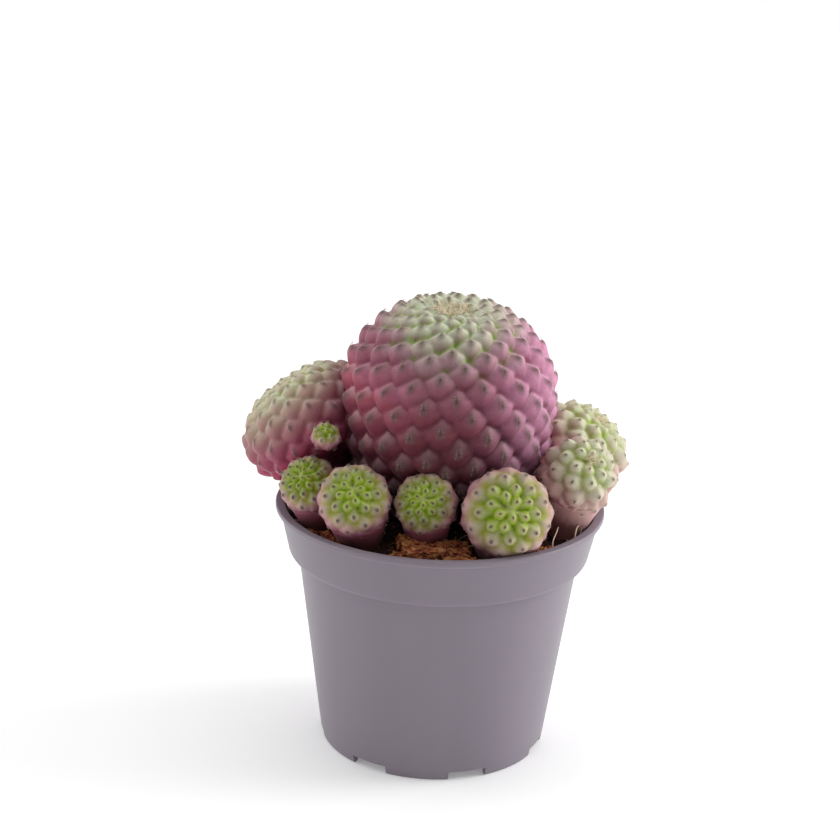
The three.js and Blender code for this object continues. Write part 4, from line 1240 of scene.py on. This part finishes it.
def fibre(tree):
    """A bent coir fibre, with the sizes, turns and tones that it is scattered in."""
    ends = {"Start": (-0.0024, 0.0, 0.0), "Middle": (0.0, 0.0009, 0.0011), "End": (0.0026, -0.0004, 0.0002)}
    arc = add(tree, "GeometryNodeCurveQuadraticBezier", {"Resolution": 7, **ends})
    ring = add(tree, "GeometryNodeCurvePrimitiveCircle", {"Resolution": 3, "Radius": 0.11 * MM})
    bit = add(tree, "GeometryNodeCurveToMesh", {"Curve": arc, "Profile Curve": ring, "Fill Caps": True})
    size = add(tree, RANDOM_VECTOR, {0: (0.4, 0.5, 0.4), 1: (1.5, 2.2, 1.4), "Seed": 13})
    spin = add(tree, RANDOM_VECTOR, {0: (-0.4, -0.4, 0.0), 1: (0.4, 0.4, FULL_TURN), "Seed": 17})
    tone = add(tree, RANDOM_NUMBER, {2: 0.35, 3: 1.1, "Seed": 18}, out=1)
    return bit, size, spin, tone


def soil_tree():
    """Rough peat with crumbs and fibres scattered over its top."""
    inputs = {**GEOMETRY, "Float": ("Lump", "Crumbs", "Fibres"), "Int": ("Seed",), "Material": ("Mix",)}
    tree, given, out = new_tree("Potting mix", inputs, GEOMETRY)
    here = add(tree, "GeometryNodeInputPosition")
    top = add(tree, NAMED, {"Name": "top"}, data_type="FLOAT")
    coarse = add(tree, NOISE, {"Vector": here, "Scale": 210.0, "Detail": 5.0, "Roughness": 0.62})
    lift = add(tree, TIMES, [add(tree, PLUS, [coarse, -0.5]), given["Lump"]])
    lift = add(tree, COMBINE, [0.0, 0.0, add(tree, TIMES, [lift, top])])
    ground = add(tree, MOVE, {"Geometry": given["Geometry"], "Offset": lift})
    tone = add(tree, TIMES_PLUS, [coarse, 0.45, -0.05])
    ground = add(tree, STORE_POINTS, {"Geometry": ground, "Name": "tone", "Value": tone})
    ground = add(tree, "GeometryNodeSetShadeSmooth", {"Geometry": ground, "Shade Smooth": True})
    made = [ground]
    up = add(tree, SPLIT, [add(tree, "GeometryNodeInputNormal")], out=2)
    flat = add(tree, ABOVE, [up, 0.2])
    where = add(tree, TIMES, [flat, add(tree, ABOVE, [top, 0.5])])
    for density, (bit, size, spin, tone) in (("Crumbs", crumb(tree, here)), ("Fibres", fibre(tree))):
        dots = add(
            tree, "GeometryNodeDistributePointsOnFaces",
            {"Mesh": ground, "Selection": where, "Density": given[density], "Seed": given["Seed"]},
        )
        spin = add(tree, EULER, [spin])
        bits = add(tree, SCATTER, {"Points": dots, "Instance": bit, "Rotation": spin, "Scale": size})
        toned = {"Geometry": bits, "Name": "tone", "Value": tone}
        bits = add(tree, STORE, toned, data_type="FLOAT", domain="INSTANCE")
        made.append(add(tree, REALIZE, {"Geometry": bits}))
    whole = add(tree, JOIN, {"Geometry": made})
    done = add(tree, COAT, {"Geometry": whole, "Material": given["Mix"]})
    tree.links.new(done, out["Geometry"])
    return tree


def soil_mix(s):
    """The potting mix, from the pot's bottom to the crumbs on its surface."""
    level = s.level / MM
    rings = [(r, level + MOUND * mound(r)) for r in np.linspace(MOUND_EDGE, 0.6, 74)]
    co, faces = turned([(0, INSIDE[0][1]), *INSIDE, (38.5, level - 0.4), *rings, (0, level + MOUND)], 240)
    mesh = plain_mesh("soil", (co + (AXIS_X, 0, 0)) * MM, faces)
    out = np.hypot(co[:, 0], co[:, 1])
    store(mesh, "top", np.where(co[:, 2] > level - 0.1, np.clip((38.2 - out) / 1.5, 0, 1), 0.0))
    values = {
        "Lump": 3.4 * MM, "Crumbs": s.crumbs, "Fibres": s.fibres, "Seed": s.seed, "Mix": material("soil"),
    }
    made = evaluate("soil_mix", soil_tree(), values, mesh)
    co = coordinates(made) / MM - (AXIS_X, 0, 0)
    limit = np.clip(SOIL_EDGE + (co[:, 2] - level) * 0.2, 1, 40.0)
    settle(made, within(co, np.where(co[:, 2] > 55, limit, np.inf)))
    return made


def bark_chip(rng, x, y, z, length, width, thick, turn, tip):
    """One ragged chip of bark that lies on the soil."""
    part = bmesh.new()
    bmesh.ops.create_cube(part, size=1)
    bmesh.ops.subdivide_edges(part, edges=part.edges[:], cuts=11, use_grid_fill=True)
    lean = Matrix.Rotation(math.radians(turn), 3, "Z")
    lean = lean @ Matrix.Rotation(math.radians(tip / 2), 3, "Y")
    lean = lean @ Matrix.Rotation(math.radians(tip), 3, "X")
    place = Vector((x, y, z + MOUND * mound(math.hypot(x, y))))
    phase = rng.uniform(0, 6, 6)
    for v in part.verts:
        px, py, pz = v.co
        ragged = 1 + 0.14 * math.sin(9 * px + phase[0]) + 0.1 * math.sin(17 * py + phase[1])
        step = 0.18 * math.sin(14 * pz + phase[2]) + 0.2 * math.sin(29 * px + 21 * py + phase[3])
        long = px * length * (1 + 0.5 * step * abs(px))
        p = Vector((long, py * width * ragged * (1 - 0.35 * px), pz * thick * (1 + step)))
        v.co = lean @ (p + Vector(rng.normal(0, 0.2, 3))) + place
    chip = bpy.data.meshes.new("chip")
    part.to_mesh(chip)
    part.free()
    return chip


def bark_chips():
    """All chips and crumbs of bark as one mesh."""
    heap = bmesh.new()
    rng = np.random.default_rng(21)
    for row in CHIPS + CRUMBS:
        chip = bark_chip(rng, *row)
        heap.from_mesh(chip)
        bpy.data.meshes.remove(chip)
    bark = bpy.data.meshes.new("bark_chips")
    heap.to_mesh(bark)
    heap.free()
    settle(bark, within(coordinates(bark), CHIP_EDGE))
    bark.materials.append(material("bark"))
    return bark


def dry_roots():
    """Dead roots that stand out of the soil, thinner towards their ends."""
    lines = bpy.data.curves.new("roots", "CURVE")
    lines.dimensions = "3D"
    lines.bevel_depth = 0.2 * MM
    lines.bevel_resolution = 1
    lines.use_fill_caps = True
    for points in ROOTS:
        line = lines.splines.new("NURBS")
        line.points.add(len(points) - 1)
        for k, (x, y, z) in enumerate(points):
            line.points[k].co = ((x + AXIS_X) * MM, y * MM, z * MM, 1)
            line.points[k].radius = 1 - 0.5 * k / (len(points) - 1)
        line.order_u = 3
        line.resolution_u = 6
        line.use_endpoint_u = True
    lines.materials.append(material("root"))
    roots = as_mesh(placed("roots", lines))
    roots.shade_smooth()
    return roots


class RebutiaBuildSoil(bpy.types.Operator):
    """Build the potting mix with its crumbs, fibres, bark chips and dry roots"""

    bl_idname = "rebutia.build_soil"
    bl_label = "Soil"

    def execute(self, context):
        piece("soil_mix", soil_mix(settings("soil")), "soil")
        piece("bark_chips", bark_chips())
        piece("dry_roots", dry_roots())
        return {"FINISHED"}


# ---- Stage ----
FLOOR = 4  # half the side of the white floor, in metres
LIGHTS = {"Softbox": ((0.9, 0.12, 0.5), 0.55), "Fill": ((-0.8, 0.1, 0.45), 0.7)}  # place, width in metres
AIM = (0, 0, 0.07)  # what the lights point at, in metres
LENS, SENSOR = 85.714, 36  # focal length and sensor width, in millimetres
CAMERA = (-5.937 + AXIS_X, -485.629, 246.273)  # in millimetres
CAMERA_AXES = (  # right, up and back
    (0.99938986, 0.01089171, 0.03318556), (-0.03492722, 0.31164984, 0.94955488),
    (0.0, -0.95013459, 0.31184011),
)


class RebutiaBuildStage(bpy.types.Operator):
    """Build the white floor, the softbox and the camera"""

    bl_idname = "rebutia.build_stage"
    bl_label = "Stage"

    def execute(self, context):
        scene, s = context.scene, settings("stage")
        corners = np.array([(-1, -1, 0), (1, -1, 0), (1, 1, 0), (-1, 1, 0)]) * FLOOR
        floor = plain_mesh("floor", corners, [(0, 1, 2, 3)])
        floor.materials.append(material("paper"))
        placed("floor", floor)
        world = bpy.data.worlds.new("White surroundings")
        world.use_nodes = True
        tree = world.node_tree
        way = add(tree, SPLIT, [add(tree, "ShaderNodeTexCoord")], out=1)
        glow = add(tree, RANGE, {"Value": way, 1: -0.95, 2: -0.1, 3: s.front, 4: s.back})
        tree.links.new(glow, tree.nodes["Background"].inputs["Strength"])
        tree.nodes["Background"].inputs["Color"].default_value = (1, 1, 1, 1)
        scene.world = world
        for (name, (spot, size)), power in zip(LIGHTS.items(), (s.key, s.fill)):
            light = bpy.data.lights.new(name, "AREA")
            light.shape = "DISK"
            light.size = size
            light.energy = power
            lamp = placed(name, light)
            lamp.location = spot
            lamp.rotation_mode = "QUATERNION"
            lamp.rotation_quaternion = (Vector(AIM) - Vector(spot)).to_track_quat("-Z", "Y")
        scene.view_settings.view_transform = "Standard"
        camera = bpy.data.cameras.new("Camera")
        camera.lens = LENS
        camera.sensor_width = SENSOR
        view = placed("Camera", camera)
        turn = Matrix(CAMERA_AXES).transposed().to_4x4()
        view.matrix_world = Matrix.Translation(Vector(CAMERA) * MM) @ turn
        scene.camera = view
        return {"FINISHED"}


class RebutiaPanel(bpy.types.Panel):
    bl_idname = "VIEW3D_PT_rebutia"
    bl_label = "Potted rebutia"
    bl_space_type = "VIEW_3D"
    bl_region_type = "UI"
    bl_category = "Rebutia"

    def draw(self, context):
        for operator, group in zip(OPERATORS, ("stems", "stems", "pot", "soil", "stage")):
            box = self.layout.box()
            box.operator(operator.bl_idname)
            for name in GROUPS[group].__annotations__:
                box.prop(getattr(context.scene, "rebutia_" + group), name)


OPERATORS = (RebutiaBuildMain, RebutiaBuildOffsets, RebutiaBuildPot, RebutiaBuildSoil, RebutiaBuildStage)


def register():
    for made in (*GROUPS.values(), *OPERATORS, RebutiaPanel):
        bpy.utils.register_class(made)
    for name, group in GROUPS.items():
        setattr(bpy.types.Scene, "rebutia_" + name, PointerProperty(type=group))


def unregister():
    for name in GROUPS:
        delattr(bpy.types.Scene, "rebutia_" + name)
    for made in reversed((*GROUPS.values(), *OPERATORS, RebutiaPanel)):
        bpy.utils.unregister_class(made)


def main():
    register()
    bpy.ops.rebutia.build_main()
    bpy.ops.rebutia.build_offsets()
    bpy.ops.rebutia.build_pot()
    bpy.ops.rebutia.build_soil()
    bpy.ops.rebutia.build_stage()


if __name__ == "__main__":
    main()
